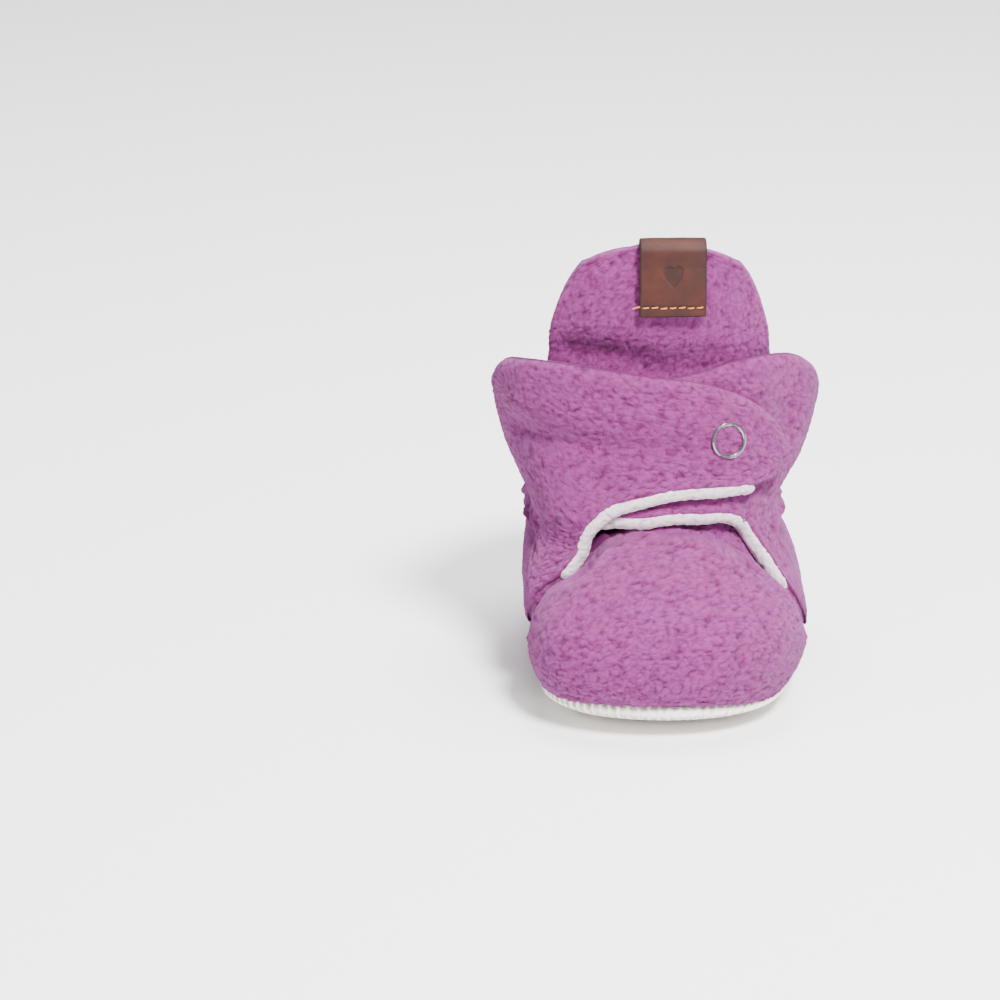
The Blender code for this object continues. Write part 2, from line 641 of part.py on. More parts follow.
def cutter(name, frame, shapes):
    """A hidden cutting body made of upright rods."""
    body = bmesh.new()
    for x, y, radius, low, high, sides in shapes:
        rod(body, x, y, radius, low, high, sides)
    piece = add_object(name, finish_mesh(name, body), steel)
    piece.matrix_world = frame
    piece.hide_render = True
    piece.display_type = "WIRE"
    return piece


def cut(target, tool):
    """Subtract a cutter from a piece."""
    step = bpy.data.objects[target].modifiers.new(tool.name, "BOOLEAN")
    step.operation = "DIFFERENCE"
    step.solver = "EXACT"
    step.object = tool


def prong_ring(name, frame, ring_profile, low, high):
    """A metal ring with prongs, made as one body."""
    body = bmesh.new()
    turned(body, ring_profile)
    piece = add_object(name, finish_mesh(name, body, 60), steel)
    piece.matrix_world = frame
    for index, (x, y) in enumerate(prong_places()):
        prong = cutter(f"{name}_prong_{index}", frame, [(x, y, PRONG_RADIUS, low, high, 8)])
        join = piece.modifiers.new(prong.name, "BOOLEAN")
        join.operation = "UNION"
        join.solver = "EXACT"
        join.object = prong


def round_section(radius, height, wire, points=10):
    """Circle section of a wire ring."""
    turns = [2 * math.pi * k / points for k in range(points)]
    return [(radius + wire * math.cos(a), height + wire * math.sin(a)) for a in turns]


def make_snap():
    frame = snap_frame()
    lining_face, flap_face = -WALL, -STRAP_LIFT
    socket_back = lining_face + SOCKET_DEPTH
    socket_front = lining_face - SOCKET_PROUD
    stud_front = flap_face - 0.05
    stud_back = stud_front - STUD_BASE
    ring_height = GAP + RING_WIRE
    prong_ring("snap_ring", frame, round_section(RING_RADIUS, ring_height, RING_WIRE),
               socket_back + PIN_LAP, ring_height)
    body = bmesh.new()
    turned(body, [(SOCKET_HOLE, socket_front), (DISC_RADIUS, socket_front), (DISC_RADIUS, socket_back),
                  (SOCKET_HOLE, socket_back)])
    add_object("snap_socket", finish_mesh("snap_socket", body), steel).matrix_world = frame
    make_stud(frame, stud_back, stud_front, socket_back - POCKET_GAP)
    back_ring_face = flap_face - WALL
    back_ring_depth = back_ring_face + BACK_RING_DEPTH
    inner, outer = BACK_RING_RADII
    low, high = back_ring_face + 0.1, back_ring_depth - POCKET_GAP
    prong_ring("snap_back_ring", frame, [(inner, low), (outer, low), (outer, high), (inner, high)],
               high - 0.2, stud_back - PIN_LAP)
    holes = [(x, y, PRONG_HOLE, lining_face - 1, 2, 8) for x, y in prong_places()]
    flap_holes = [(x, y, PRONG_HOLE, back_ring_face - 1, flap_face + 1, 8) for x, y in prong_places()]
    strap_prongs = cutter("strap_prong_holes", frame, holes)
    flap_prongs = cutter("flap_prong_holes", frame, flap_holes)
    socket_pocket = cutter("socket_pocket", frame,
                           [(0, 0, POCKET_RADIUS, lining_face - 2, socket_back + POCKET_GAP, 28)])
    stud_pocket = cutter("stud_pocket", frame,
                         [(0, 0, POCKET_RADIUS, stud_back - POCKET_GAP, flap_face + 2, 28)])
    ring_pocket = cutter("ring_pocket", frame,
                         [(0, 0, POCKET_RADIUS, back_ring_face - 2, back_ring_depth, 28)])
    cut("strap_shell", strap_prongs)
    cut("strap_lining", strap_prongs)
    cut("strap_lining", socket_pocket)
    cut("flap_shell", flap_prongs)
    cut("flap_shell", stud_pocket)
    cut("flap_lining", flap_prongs)
    cut("flap_lining", ring_pocket)


def make_stud(frame, back, front, head_top):
    """Stud: a flat base with a round head that stands in the socket."""
    profile = [(DISC_RADIUS, back), (DISC_RADIUS, front), (STUD_HEAD - 0.3, front),
               (STUD_HEAD - 0.3, head_top - 0.9), (STUD_HEAD, head_top - 0.6), (STUD_HEAD, head_top - 0.2),
               (STUD_HEAD - 0.3, head_top)]
    body = bmesh.new()
    segments = 28
    rings = []
    for r, h in profile:
        rings.append([body.verts.new(Vector((r * math.cos(2 * math.pi * k / segments),
                                             r * math.sin(2 * math.pi * k / segments), h)) * MM)
                      for k in range(segments)])
    for first, second in zip(rings, rings[1:]):
        bridge(body, first, second)
    body.faces.new(rings[0])
    body.faces.new(rings[-1])
    add_object("snap_stud", finish_mesh("snap_stud", body), steel).matrix_world = frame


# ================================================================ bodies
def hinge(name, place, turn, names):
    """Put a moving body's pieces under an empty on its joint axis, its Z or X along the axis."""
    empty = bpy.data.objects.new(name, None)
    empty.location = Vector(place) * MM
    empty.rotation_euler = turn
    bpy.context.collection.objects.link(empty)
    bpy.context.view_layer.update()
    for piece_name in names:
        piece = bpy.data.objects[piece_name]
        world = piece.matrix_world.copy()
        piece.parent = empty
        piece.matrix_parent_inverse = empty.matrix_world.inverted()
        piece.matrix_world = world


clear_scene()
fleece = material("fleece", (0.46, 0.20, 0.42), 0.95)
lining = material("lining_fleece", (0.86, 0.80, 0.82), 0.95)
canvas = material("sole_canvas", (0.88, 0.84, 0.77), 0.9)
foam = material("foam", (0.80, 0.78, 0.72), 0.9)
elastic = material("elastic", (0.85, 0.84, 0.82), 0.8)
leather = material("leather", (0.20, 0.07, 0.045), 0.6)
steel = material("snap_steel", (0.75, 0.75, 0.76), 0.25, 1.0)
make_sole()
make_vamp()
make_tongue()
make_label()
make_heel()
make_elastic()
make_wings()
make_snap()
hinge("strap_hinge", STRAP_HINGE, (0, -HINGE_LEAN, 0),
      ["strap_shell", "strap_lining", "snap_ring", "snap_socket"])
hinge("flap_hinge", FLAP_HINGE, (0, HINGE_LEAN, 0),
      ["flap_shell", "flap_lining", "snap_stud", "snap_back_ring"])
hinge("tongue_hinge", TONGUE_HINGE, (0, 0, 0), ["tongue_shell", "tongue_lining", "leather_label"])
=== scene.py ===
"""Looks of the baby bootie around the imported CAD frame.

The fleece parts are fine grids over the same surfaces as the CAD: a front piece (vamp and tongue) and a
back piece in two halves (inner half with the strap, outer half with the flap). Lengths are in
millimetres until a mesh is made.
"""
import collections
import itertools
import math

import bpy
import numpy as np
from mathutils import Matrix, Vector


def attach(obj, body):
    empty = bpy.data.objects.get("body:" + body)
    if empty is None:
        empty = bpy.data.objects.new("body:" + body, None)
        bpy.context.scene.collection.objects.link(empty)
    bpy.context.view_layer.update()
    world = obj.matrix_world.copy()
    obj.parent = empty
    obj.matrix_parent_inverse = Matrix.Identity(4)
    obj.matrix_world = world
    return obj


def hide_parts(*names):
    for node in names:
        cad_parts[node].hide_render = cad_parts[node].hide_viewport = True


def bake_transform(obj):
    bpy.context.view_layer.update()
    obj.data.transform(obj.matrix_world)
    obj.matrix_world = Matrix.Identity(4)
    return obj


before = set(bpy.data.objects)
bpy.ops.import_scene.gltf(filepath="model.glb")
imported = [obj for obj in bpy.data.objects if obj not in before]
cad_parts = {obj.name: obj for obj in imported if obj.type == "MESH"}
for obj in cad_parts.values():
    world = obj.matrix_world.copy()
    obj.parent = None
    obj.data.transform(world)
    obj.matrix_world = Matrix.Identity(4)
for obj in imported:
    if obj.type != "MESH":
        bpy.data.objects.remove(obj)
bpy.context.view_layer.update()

MM = 0.001
STEP = 0.5

# ---------------------------------------------------------------- shared shape, as in the CAD
SHELL, LINING, GAP = 1.8, 1.5, 0.35
WALL = SHELL + LINING + GAP
STRAP_LIFT = WALL + 1.1
FRONT_CLEAR = WALL + 1.5
SOLE_POINTS = [
    (6, 59), (-10, 53), (-19, 38), (-22, 10), (-25, -16), (-33.2, -33), (-30.5, -48), (-17.5, -57.5),
    (3, -59.5), (21, -53), (32, -38), (34.5, -14), (31, 18), (28, 42), (19, 56),
]
OUTSOLE = 1.6
FLAT_SHARE, TOE_FLAT_SHARE = 0.78, 0.64
EDGE_RISE, TOE_EXTRA_RISE, TOE_SIDE_RISE = 2.0, 0.2, 5.0
TOE_HALF_WIDTH = 34
CUP_POWER = 1.7
FOREFOOT_Y = -35
TOE_SPRING, SPRING_Y, SPRING_LENGTH = 4.2, -42.0, 17.0
PAST_RIM = 1.1
UNDER_ANGLE = math.radians(112)
DOME_CENTRE = (0.0, -28.0)
DOME_TOP = 46.5
DOME_SLOPE = 0.30
DOME_POWER = 0.92
BULGE_HEIGHT = 17.0
FRONT_STATIONS = [
    (0.0, -28.0, 46.5, -28.0, 8.9, 34.6, 0.0, 0.80, 112),
    (0.5, -26.2, 47.2, -17.0, 6.9, 32.6, 1.6, 0.80, 108),
    (1.0, -24.6, 48.2, -6.0, 4.6, 30.0, 3.5, 0.82, 104),
    (1.5, -23.2, 49.6, 3.0, 4.7, 28.5, 3.0, 0.88, 98),
    (2.0, -22.0, 51.2, 6.0, 24.0, 27.5, 0.5, 0.95, 93),
    (2.5, -20.8, 53.4, 2.0, 42.0, 27.0, -1.0, 1.0, 90),
]
CREASE_Z = 53.4
TONGUE_PROFILE = [(CREASE_Z, -20.8), (60, -17.6), (70, -14.6), (80, -12.2), (88, -10.2), (98, -10.4),
                  (108, -9.8), (118, -7.6)]
TONGUE_HALF_WIDTH = 28.6
TONGUE_BASE_HALF = [(CREASE_Z, 27.0), (66, TONGUE_HALF_WIDTH), (120, TONGUE_HALF_WIDTH)]
TONGUE_DEPTH_Y = [(CREASE_Z, 22.8), (66, 15), (84, 11), (118, 8)]
TONGUE_DEPTH_Z = [(CREASE_Z, 11.4), (66, 4), (84, 0), (118, 0)]
TONGUE_CENTRE = -2.0
TONGUE_ROUND_FROM = 82.0
TONGUE_TOP = 118.4
TONGUE_ROUND_POWER = 2.05
WRAP_LOW, WRAP_HIGH = 4, 90
SEAM_HEIGHTS = (4, 16)
WRAP_HALF_WIDTH = [(4, 30), (10, 35.5), (18, 37.2), (28, 36.5), (36, 34.2), (42.5, 32.4), (49, 35),
                   (58, 39.5), (68, 42.5), (80, 44.5), (90, 45.5)]
WRAP_CENTRE_X = [(4, 4.0), (18, 0.6), (28, -0.8), (42.5, -2.6), (58, -2.3), (90, -2.0)]
WRAP_CENTRE_Y = [(4, 12), (30, 11), (50, 10), (90, 10)]
WRAP_FRONT_Y = [(4, -27), (16, -34), (30, -35.5), (37, -34.6), (42, -32.8), (48, -29.6), (54, -26),
                (60, -22.4), (70, -19.2), (80, -17.2), (90, -15.6)]
WRAP_BACK_Y = [(4, 60), (12, 62), (24, 61.5), (36, 57), (43, 53.5), (52, 54.5), (66, 55.5), (84, 56)]
WRAP_CORNER = [(4, 0.40), (14, 0.16), (38, 0.16), (48, 0.42), (60, 0.58), (80, 0.68), (90, 0.7)]
BACK_CORNER = 0.54
RAY_CENTRE = (4.0, 12.0)

# Depths below the CAD's outer surface, and the height at which the pile starts above it.
SHELL_BACK = SHELL + 0.1
LINING_BACK = SHELL + 0.2
LINING_FACE = WALL + 0.25
COVER = 0.5

# Edges of the two halves of the back piece, angle (0 front, -90 inner ear, 180 back) -> height.
CUFF_TOP = [(90, 76), (105, 73), (120, 70.5), (150, 68.5), (180, 68), (210, 68.5), (235, 69.5), (255, 72.5),
            (270, 77.5)]
INNER_LOW = [(-82, 5.0), (-80, 14), (-74, 24), (-62, 30.5), (-50, 34), (-42, 38), (-35, 43), (-25, 48.6),
             (-15, 52.8), (-3, 55.4), (13, 56.6), (26, 56.2), (36, 55.2), (46, 54.0), (52, 54.0)]
STRAP_TOP = [(-90, 77.5), (-82, 80), (-70, 83.4), (-52, 86.5), (-31, 88.2), (-18, 87.6), (-2, 86.2),
             (13, 84.4), (26, 80.4), (34, 76.8), (52, 68)]
STRAP_END, STRAP_END_FROM = 50.0, 27.0
OUTER_LOW = [(-26, 47.5), (-6.6, 48.8), (15, 49.4), (34.5, 47.8), (45, 45.4), (53, 42), (60, 37.6),
             (67, 31.5), (75, 24), (80, 14), (82, 5)]
FLAP_TOP = [(-26, 76), (-18, 81), (0, 84), (11, 85.4), (29, 88.0), (39, 88.2), (56, 86.4), (68, 83),
            (82, 77.8), (90, 76)]
FLAP_END, FLAP_END_FROM = -26.0, -17.0
HEEL_ANGLE = 82
SNAP_ANGLE, SNAP_Z = 22.0, 69.3
MM_PER_DEGREE = 0.72

# Where the back piece covers the front piece, which is pressed in there.
INNER_COVER = INNER_LOW[:5] + [(-41, 39), (-32, 46.2)]
OUTER_COVER = [(32, 46.2), (43, 43), (54, 39.5), (64, 33.5), (73, 25), (80, 14), (82, 5.0)]
INSTEP_COVER = [(47.5, 10), (50, 0)]
COVER_DROP, COVER_DROP_HEIGHTS = 3, (36, 42)
LOW_CLEAR, LOW_CLEAR_HEIGHTS = 3.4, (32, 18)
TUCK_LEAD = 9
TUCK_DELAY, TUCK_DELAY_HEIGHTS = 6, (20, 11)
TUCK_ROUNDS = 14


def curve(knots, x):
    """Smooth curve through (x, y) knots, flat outside them."""
    knot_x, knot_y = np.array(knots, float).T
    x = np.asarray(x, float)
    slope = np.gradient(knot_y, knot_x)
    i = np.clip(np.searchsorted(knot_x, x) - 1, 0, len(knot_x) - 2)
    step = knot_x[i + 1] - knot_x[i]
    t = np.clip((x - knot_x[i]) / step, 0, 1)
    ends = knot_y[i] * (1 + 2 * t) * (1 - t) ** 2 + knot_y[i + 1] * t * t * (3 - 2 * t)
    return ends + step * t * (1 - t) * (slope[i] * (1 - t) - slope[i + 1] * t)


def ease(low, high, x):
    """0 below low, 1 above high, smooth between."""
    t = np.clip((np.asarray(x, float) - low) / (high - low), 0, 1)
    return t * t * (3 - 2 * t)


def hump(centre, width, x):
    """1 at the centre, falling smoothly to 0 at about twice the width."""
    return np.exp(-((np.asarray(x, float) - centre) / width) ** 2)


def closed_spline(points, per_span):
    """Catmull-Rom curve through a closed ring of points."""
    ring = np.array(points, float)
    before, after, beyond = (np.roll(ring, shift, 0) for shift in (1, -1, -2))
    rows = []
    for t in np.arange(per_span) / per_span:
        rows.append(0.5 * (2 * ring + (after - before) * t
                           + (2 * before - 5 * ring + 4 * after - beyond) * t ** 2
                           + (3 * ring - before - 3 * after + beyond) * t ** 3))
    return np.stack(rows, 1).reshape(-1, 2)


OUTLINE = closed_spline(SOLE_POINTS, 24)


def outline_reach(centre, direction):
    """Distance from a centre to the sole outline along plan directions (radians from +X)."""
    offset = OUTLINE - np.array(centre)
    angle = np.arctan2(offset[:, 1], offset[:, 0])
    order = np.argsort(angle)
    return np.interp(direction, angle[order], np.hypot(*offset.T)[order], period=2 * math.pi)


def sole_bottom(x, y):
    """Height of the sole's underside: flat in the middle, cupped at the edge, up at the toe."""
    share = np.hypot(x, y) / outline_reach((0, 0), np.arctan2(y, x))
    forefoot = ease(0, FOREFOOT_Y, y)
    rise = EDGE_RISE + TOE_EXTRA_RISE * forefoot + TOE_SIDE_RISE * forefoot * (x / TOE_HALF_WIDTH) ** 2
    flat = FLAT_SHARE + (TOE_FLAT_SHARE - FLAT_SHARE) * forefoot
    cup = rise * np.clip((share - flat) / (1 - flat), 0, PAST_RIM) ** CUP_POWER
    spring = TOE_SPRING * np.clip((SPRING_Y - y) / SPRING_LENGTH, 0, PAST_RIM) ** 2
    return cup + spring


def wrap_surface(angle, z, lift=0.0):
    """Face of the back piece at an angle (degrees) round the ankle and a height."""
    angle, z, lift = np.broadcast_arrays(np.asarray(angle, float), z, lift)
    phi = np.radians(angle)
    centre_x = curve(WRAP_CENTRE_X, z)
    centre_y = curve(WRAP_CENTRE_Y, z)
    half = curve(WRAP_HALF_WIDTH, z) + lift
    front = centre_y - curve(WRAP_FRONT_Y, z) + lift
    back = curve(WRAP_BACK_Y, z) - centre_y + lift
    cosine = np.cos(phi)
    corner = np.where(cosine > 0, curve(WRAP_CORNER, z), BACK_CORNER)
    depth = np.abs(cosine) ** (2 * corner)
    x = centre_x + half * np.sin(phi)
    y = centre_y + np.where(cosine > 0, -front, back) * depth
    direction = np.arctan2(y - RAY_CENTRE[1], x - RAY_CENTRE[0])
    reach = np.hypot(x - RAY_CENTRE[0], y - RAY_CENTRE[1])
    seam = outline_reach(RAY_CENTRE, direction) + lift
    reach = seam + (reach - seam) * ease(*SEAM_HEIGHTS, z)
    x = RAY_CENTRE[0] + reach * np.cos(direction)
    y = RAY_CENTRE[1] + reach * np.sin(direction)
    return np.stack([x, y, z], -1)


def arch(alpha, above, under):
    """Side reach and drop of an arch, 0 at its ridge and 1 at its edge."""
    reach = np.sin(np.minimum(alpha, math.pi / 2)) ** DOME_POWER
    reach = np.where(alpha > math.pi / 2, np.sin(alpha), reach) / np.sin(under)
    upper = above * (1 - np.cos(np.minimum(alpha, math.pi / 2)) ** DOME_POWER)
    turn = np.maximum(-np.cos(under), 1e-6)
    lower = (1 - above) * np.maximum(-np.cos(alpha), 0) / turn
    return reach, upper + lower


def dome_surface(u, v):
    """Toe dome: u runs across, v runs from the toe seam (-1) to the widest arch (0)."""
    round_x = u * np.sqrt(1 - v * v / 2)
    round_y = v * np.sqrt(1 - u * u / 2)
    alpha = np.hypot(round_x, round_y) * UNDER_ANGLE
    direction = np.arctan2(round_y, round_x)
    side, _ = arch(alpha, 1.0, UNDER_ANGLE)
    across = np.cos(direction) * outline_reach(DOME_CENTRE, direction)
    ahead = np.sin(direction) * outline_reach(DOME_CENTRE, direction)
    x = DOME_CENTRE[0] + across * side
    y = DOME_CENTRE[1] + ahead * side
    seam_z = sole_bottom(DOME_CENTRE[0] + across, DOME_CENTRE[1] + ahead) + OUTSOLE + GAP
    top = DOME_TOP + DOME_SLOPE * (y - DOME_CENTRE[1])
    above = BULGE_HEIGHT + (top - BULGE_HEIGHT) * np.cos(np.minimum(alpha, math.pi / 2)) ** DOME_POWER
    below = BULGE_HEIGHT + (BULGE_HEIGHT - seam_z) * np.cos(alpha) / -math.cos(UNDER_ANGLE)
    return np.stack([x, y, np.where(alpha > math.pi / 2, below, above)], -1)


def station_surface(u, v):
    """Front piece behind the dome, from the widest arch (v = 0) to the instep crease."""
    table = np.array(FRONT_STATIONS)
    ridge_y, ridge_z, edge_y, edge_z, half, centre, above, under = (
        curve(np.stack([table[:, 0], column], 1), v) for column in table[:, 1:].T)
    under = np.radians(under)
    side, drop = arch(np.abs(u) * under, above, under)
    x = centre + np.sign(u) * half * side
    return np.stack([x, ridge_y + (edge_y - ridge_y) * drop, ridge_z + (edge_z - ridge_z) * drop], -1)


def cover_angle(z, knots):
    """Angle of a panel's front edge at a height, closing over the instep above it."""
    edge = [(height - float(COVER_DROP * ease(*COVER_DROP_HEIGHTS, height)), abs(angle))
            for angle, height in knots]
    heights = sorted(edge + INSTEP_COVER)
    return np.interp(z, *zip(*heights))


def tuck(points):
    """Press the front piece in where the back piece covers it."""
    x, y, z = np.moveaxis(points, -1, 0)
    level = np.clip(z, WRAP_LOW, WRAP_HIGH)
    centre_x = curve(WRAP_CENTRE_X, level)
    centre_y = curve(WRAP_CENTRE_Y, level)
    bearing = np.arctan2(x - centre_x, centre_y - y)
    low, high = np.full(z.shape, -180.0), np.full(z.shape, 180.0)
    clear = FRONT_CLEAR + LOW_CLEAR * ease(*LOW_CLEAR_HEIGHTS, z)
    for _ in range(TUCK_ROUNDS):
        phi = (low + high) / 2
        inside = wrap_surface(phi, level, -clear)
        behind = np.arctan2(inside[..., 0] - centre_x, centre_y - inside[..., 1]) < bearing
        low, high = np.where(behind, phi, low), np.where(behind, high, phi)
    room = np.hypot(inside[..., 0] - centre_x, inside[..., 1] - centre_y)
    reach = np.hypot(x - centre_x, y - centre_y)
    edge = np.where(phi < 0, cover_angle(z, INNER_COVER), cover_angle(z, OUTER_COVER))
    late = TUCK_DELAY * ease(*TUCK_DELAY_HEIGHTS, z)
    covered = ease(late - TUCK_LEAD, late / 2 + 1, np.abs(phi) - edge)
    excess = np.maximum(reach - room, 0)
    keep = excess - np.sqrt(excess ** 2 + 1.0) + 1.0
    scale = 1 - covered * np.maximum(excess, keep) / np.maximum(reach, 0.1)
    return np.stack([centre_x + (x - centre_x) * scale, centre_y + (y - centre_y) * scale, z], -1)


def tongue_half_width(z):
    """Half width of the tongue, with its round top end."""
    share = np.clip((z - TONGUE_ROUND_FROM) / (TONGUE_TOP - TONGUE_ROUND_FROM), 0, 1)
    return TONGUE_HALF_WIDTH * (1 - share ** TONGUE_ROUND_POWER) ** (1 / TONGUE_ROUND_POWER)


def tongue_surface(u, z):
    """Face of the tongue: u runs across, z is the height of its middle line."""
    u, z = np.broadcast_arrays(np.asarray(u, float), np.asarray(z, float))
    across = u * tongue_half_width(z) / TONGUE_HALF_WIDTH
    side, drop = arch(np.abs(across) * math.pi / 2, 1.0, math.pi / 2)
    x = TONGUE_CENTRE + ease(64, CREASE_Z, z) + np.sign(u) * curve(TONGUE_BASE_HALF, z) * side
    y = curve(TONGUE_PROFILE, z) + curve(TONGUE_DEPTH_Y, z) * drop
    return tuck(np.stack([x, y, z - curve(TONGUE_DEPTH_Z, z) * drop], -1))


# ================================================================ noise and grids
LATTICE_SIZE = 32
LATTICE = np.random.default_rng(11).random((4, LATTICE_SIZE, LATTICE_SIZE, LATTICE_SIZE, 3))
WARP, WARP_SIZE = 0.6, 2.1
BIG_TUFT, BIG_STRETCH = 1.3, np.array([0.62, 0.7, 1.15])
SMALL_TUFT, SMALL_STRETCH = 0.78, np.array([0.75, 0.9, 1.2])
NAP_HEIGHT, NAP_MIDDLE = 0.95, 0.62
FLEECE_SEED, ROLL_SEED, LINING_SEED, PAD_SEED = 0.0, 3.0, 5.0, 8.0
LINING_NAP = 0.5
LUMPS = ((0.22, 6.5, 2), (0.35, 15.0, 3))  # height, size, noise layer
TUBE_SIDES = 28
TUBE_RADII = (2.2, 1.85)
TUBE_NAP = 0.75
HIDDEN_DIP = 0.35


def corners(points, size):
    """Lattice cell of each point, and the point's place in it."""
    cell = np.floor(points / size).astype(int)
    return cell, points / size - cell


def lattice_values(cell, step, layer, part):
    """Random values at the lattice corner that lies a step away from each cell."""
    i, j, k = np.moveaxis((cell + step) % LATTICE_SIZE, -1, 0)
    return LATTICE[layer, i, j, k, part]


def noise(points, size, layer=0):
    """Smooth noise from -1 to 1 with features of a given size."""
    cell, place = corners(points, size)
    place = place * place * (3 - 2 * place)
    total = 0.0
    for step in itertools.product((0, 1), repeat=3):
        wx, wy, wz = np.moveaxis(np.abs(1 - np.array(step) - place), -1, 0)
        total = total + wx * wy * wz * lattice_values(cell, step, layer, 0)
    return total * 2 - 1


def tufts(points, size, layer):
    """Rounded tufts: 1 at a tuft's middle, 0 in the gaps between tufts."""
    cell, place = corners(points, size)
    nearest = np.full(points.shape[:-1], 9.0)
    for step in itertools.product((-1, 0, 1), repeat=3):
        away = np.array(step) + lattice_values(cell, step, layer, slice(None)) - place
        nearest = np.minimum(nearest, np.sum(away * away, -1))
    return 1 - np.clip(nearest, 0, 1)


def unit(vectors):
    """Directions of vectors."""
    return vectors / np.maximum(np.linalg.norm(vectors, axis=-1, keepdims=True), 1e-9)


def normals(grid, rounds):
    """Outward directions of a grid of surface points, evened out over neighbours."""
    normal = unit(np.cross(np.gradient(grid, axis=0), np.gradient(grid, axis=1)))
    for i in (0, -1):
        for j in (0, -1):
            normal[i, j] = normal[i, 1 if j == 0 else -2] + normal[1 if i == 0 else -2, j]
    for _ in range(rounds):
        pad = np.pad(normal, ((1, 1), (1, 1), (0, 0)), mode="edge")
        normal = unit(2 * normal + pad[:-2, 1:-1] + pad[2:, 1:-1] + pad[1:-1, :-2] + pad[1:-1, 2:])
    return normal


def fleece_nap(grid, seed, depth=1.0):
    """Height of the pile over a grid, and its share from 0 (gap) to 1 (tip) for the colour."""
    warped = grid + WARP * np.stack([noise(grid + 9.1 * k + seed, WARP_SIZE, k) for k in range(3)], -1)
    big = tufts(warped * BIG_STRETCH + seed, BIG_TUFT, 0)
    small = tufts(warped * SMALL_STRETCH + 3.3 + seed, SMALL_TUFT, 1)
    share = 0.5 * big + 0.5 * small
    lumps = sum(height * noise(grid + seed, size, layer) for height, size, layer in LUMPS)
    return depth * (NAP_HEIGHT * (share - NAP_MIDDLE) + lumps), share


def edge_round(distance, radius, depth):
    """How far a face drops as it rolls over an edge."""
    t = np.clip(1 - distance / radius, 0, 1)
    return depth * (1 - np.sqrt(np.maximum(1 - t * t, 0)))


def write_nap(mesh, values):
    """Keep a value for each point, which the materials read."""
    layer = mesh.attributes.new("nap", "FLOAT", "POINT")
    layer.data.foreach_set("value", np.asarray(values, np.float32).ravel())


def mesh_object(name, verts, faces, look, nap=None):
    """One smooth mesh from points in millimetres."""
    mesh = bpy.data.meshes.new(name)
    mesh.from_pydata([tuple(p) for p in verts * MM], [], faces)
    mesh.update()
    mesh.shade_smooth()
    mesh.materials.append(look)
    if nap is not None:
        write_nap(mesh, nap)
    piece = bpy.data.objects.new(name, mesh)
    bpy.context.collection.objects.link(piece)
    return piece


def grid_faces(rows, columns, start=0, flip=False):
    """Quads of a grid."""
    i, j = np.meshgrid(np.arange(rows - 1), np.arange(columns - 1), indexing="ij")
    a = start + i * columns + j
    quads = np.stack([a, a + columns, a + columns + 1, a + 1], -1).reshape(-1, 4)
    return quads[:, ::-1] if flip else quads


def rim_faces(rows, columns, offset):
    """Quads that join the borders of two grids."""
    rim = [i * columns for i in range(rows)]
    rim += [(rows - 1) * columns + j for j in range(1, columns)]
    rim += [i * columns + columns - 1 for i in range(rows - 2, -1, -1)]
    rim += list(range(columns - 2, 0, -1))
    first = np.array(rim)
    second = np.roll(first, -1)
    return np.stack([first + offset, second + offset, second, first], -1)


def every_second(*grids):
    """Grids with every second row and column, and their borders."""
    rows, columns = (np.unique(np.append(np.arange(0, n, 2), n - 1)) for n in grids[0].shape[:2])
    return [grid[rows][:, columns] for grid in grids]


def cloth(name, look, outer, inner, nap, inner_nap=0.5):
    """A closed cloth piece between an outer and an inner grid."""
    rows, columns = outer.shape[:2]
    count = rows * columns
    verts = np.concatenate([outer.reshape(-1, 3), inner.reshape(-1, 3)])
    faces = np.concatenate([grid_faces(rows, columns), grid_faces(rows, columns, count, True),
                            rim_faces(rows, columns, count)])
    shares = np.concatenate([nap.ravel(), np.full(count, inner_nap)])
    return mesh_object(name, verts, faces.tolist(), look, shares)


def ring_quads(rows, columns):
    """Quads of a grid whose rows are closed rings."""
    i, j = np.meshgrid(np.arange(rows - 1), np.arange(columns), indexing="ij")
    k = (j + 1) % columns
    quads = np.stack([i * columns + j, i * columns + k, (i + 1) * columns + k, (i + 1) * columns + j], -1)
    return quads.reshape(-1, 4)


def tube_faces(rows, columns, start=0):
    """Faces of a tube of rings with both ends closed."""
    ring = start + np.arange(columns)
    faces = (start + ring_quads(rows, columns)).tolist()
    return faces + [ring[::-1].tolist(), (ring + (rows - 1) * columns).tolist()]


def tube(name, look, path, side, up, taper):
    """A soft rolled edge: an oval section swept along a path. side and up give its two directions."""
    turns = np.linspace(0, 2 * math.pi, TUBE_SIDES, endpoint=False)
    ends = np.minimum(np.arange(len(path)), np.arange(len(path))[::-1])
    slim = np.sqrt(np.clip(1 - (1 - np.clip(ends * STEP / taper, 0, 1)) ** 2, 0.02, 1))[:, None, None]
    ring = (path[:, None] + slim * TUBE_RADII[0] * np.cos(turns)[None, :, None] * side[:, None]
            + slim * TUBE_RADII[1] * np.sin(turns)[None, :, None] * up[:, None])
    _, share = fleece_nap(ring, ROLL_SEED)
    # The upper side lies under the fleece. It dips, so that no pile comes through.
    hidden = np.maximum(np.sin(turns) * np.sign(up[:, 2].mean()), 0)
    height = TUBE_NAP * (share - NAP_MIDDLE) * (1 - hidden) - HIDDEN_DIP * hidden
    ring = ring + unit(ring - path[:, None]) * height[..., None] * slim
    return mesh_object(name, ring.reshape(-1, 3), tube_faces(*ring.shape[:2]), look, share)


# ================================================================ materials
def shader_of(name):
    """New material, with its node tree and its shader."""
    made = bpy.data.materials.new(name)
    made.use_nodes = True
    return made, made.node_tree, made.node_tree.nodes["Principled BSDF"]


def set_inputs(node, values):
    """Set inputs that aren't linked."""
    for key, value in values.items():
        node.inputs[key].default_value = value


def add_node(tree, kind, inputs=(), **settings):
    """New node with its settings, then its inputs."""
    node = tree.nodes.new(kind)
    for key, value in settings.items():
        setattr(node, key, value)
    set_inputs(node, dict(inputs))
    return node


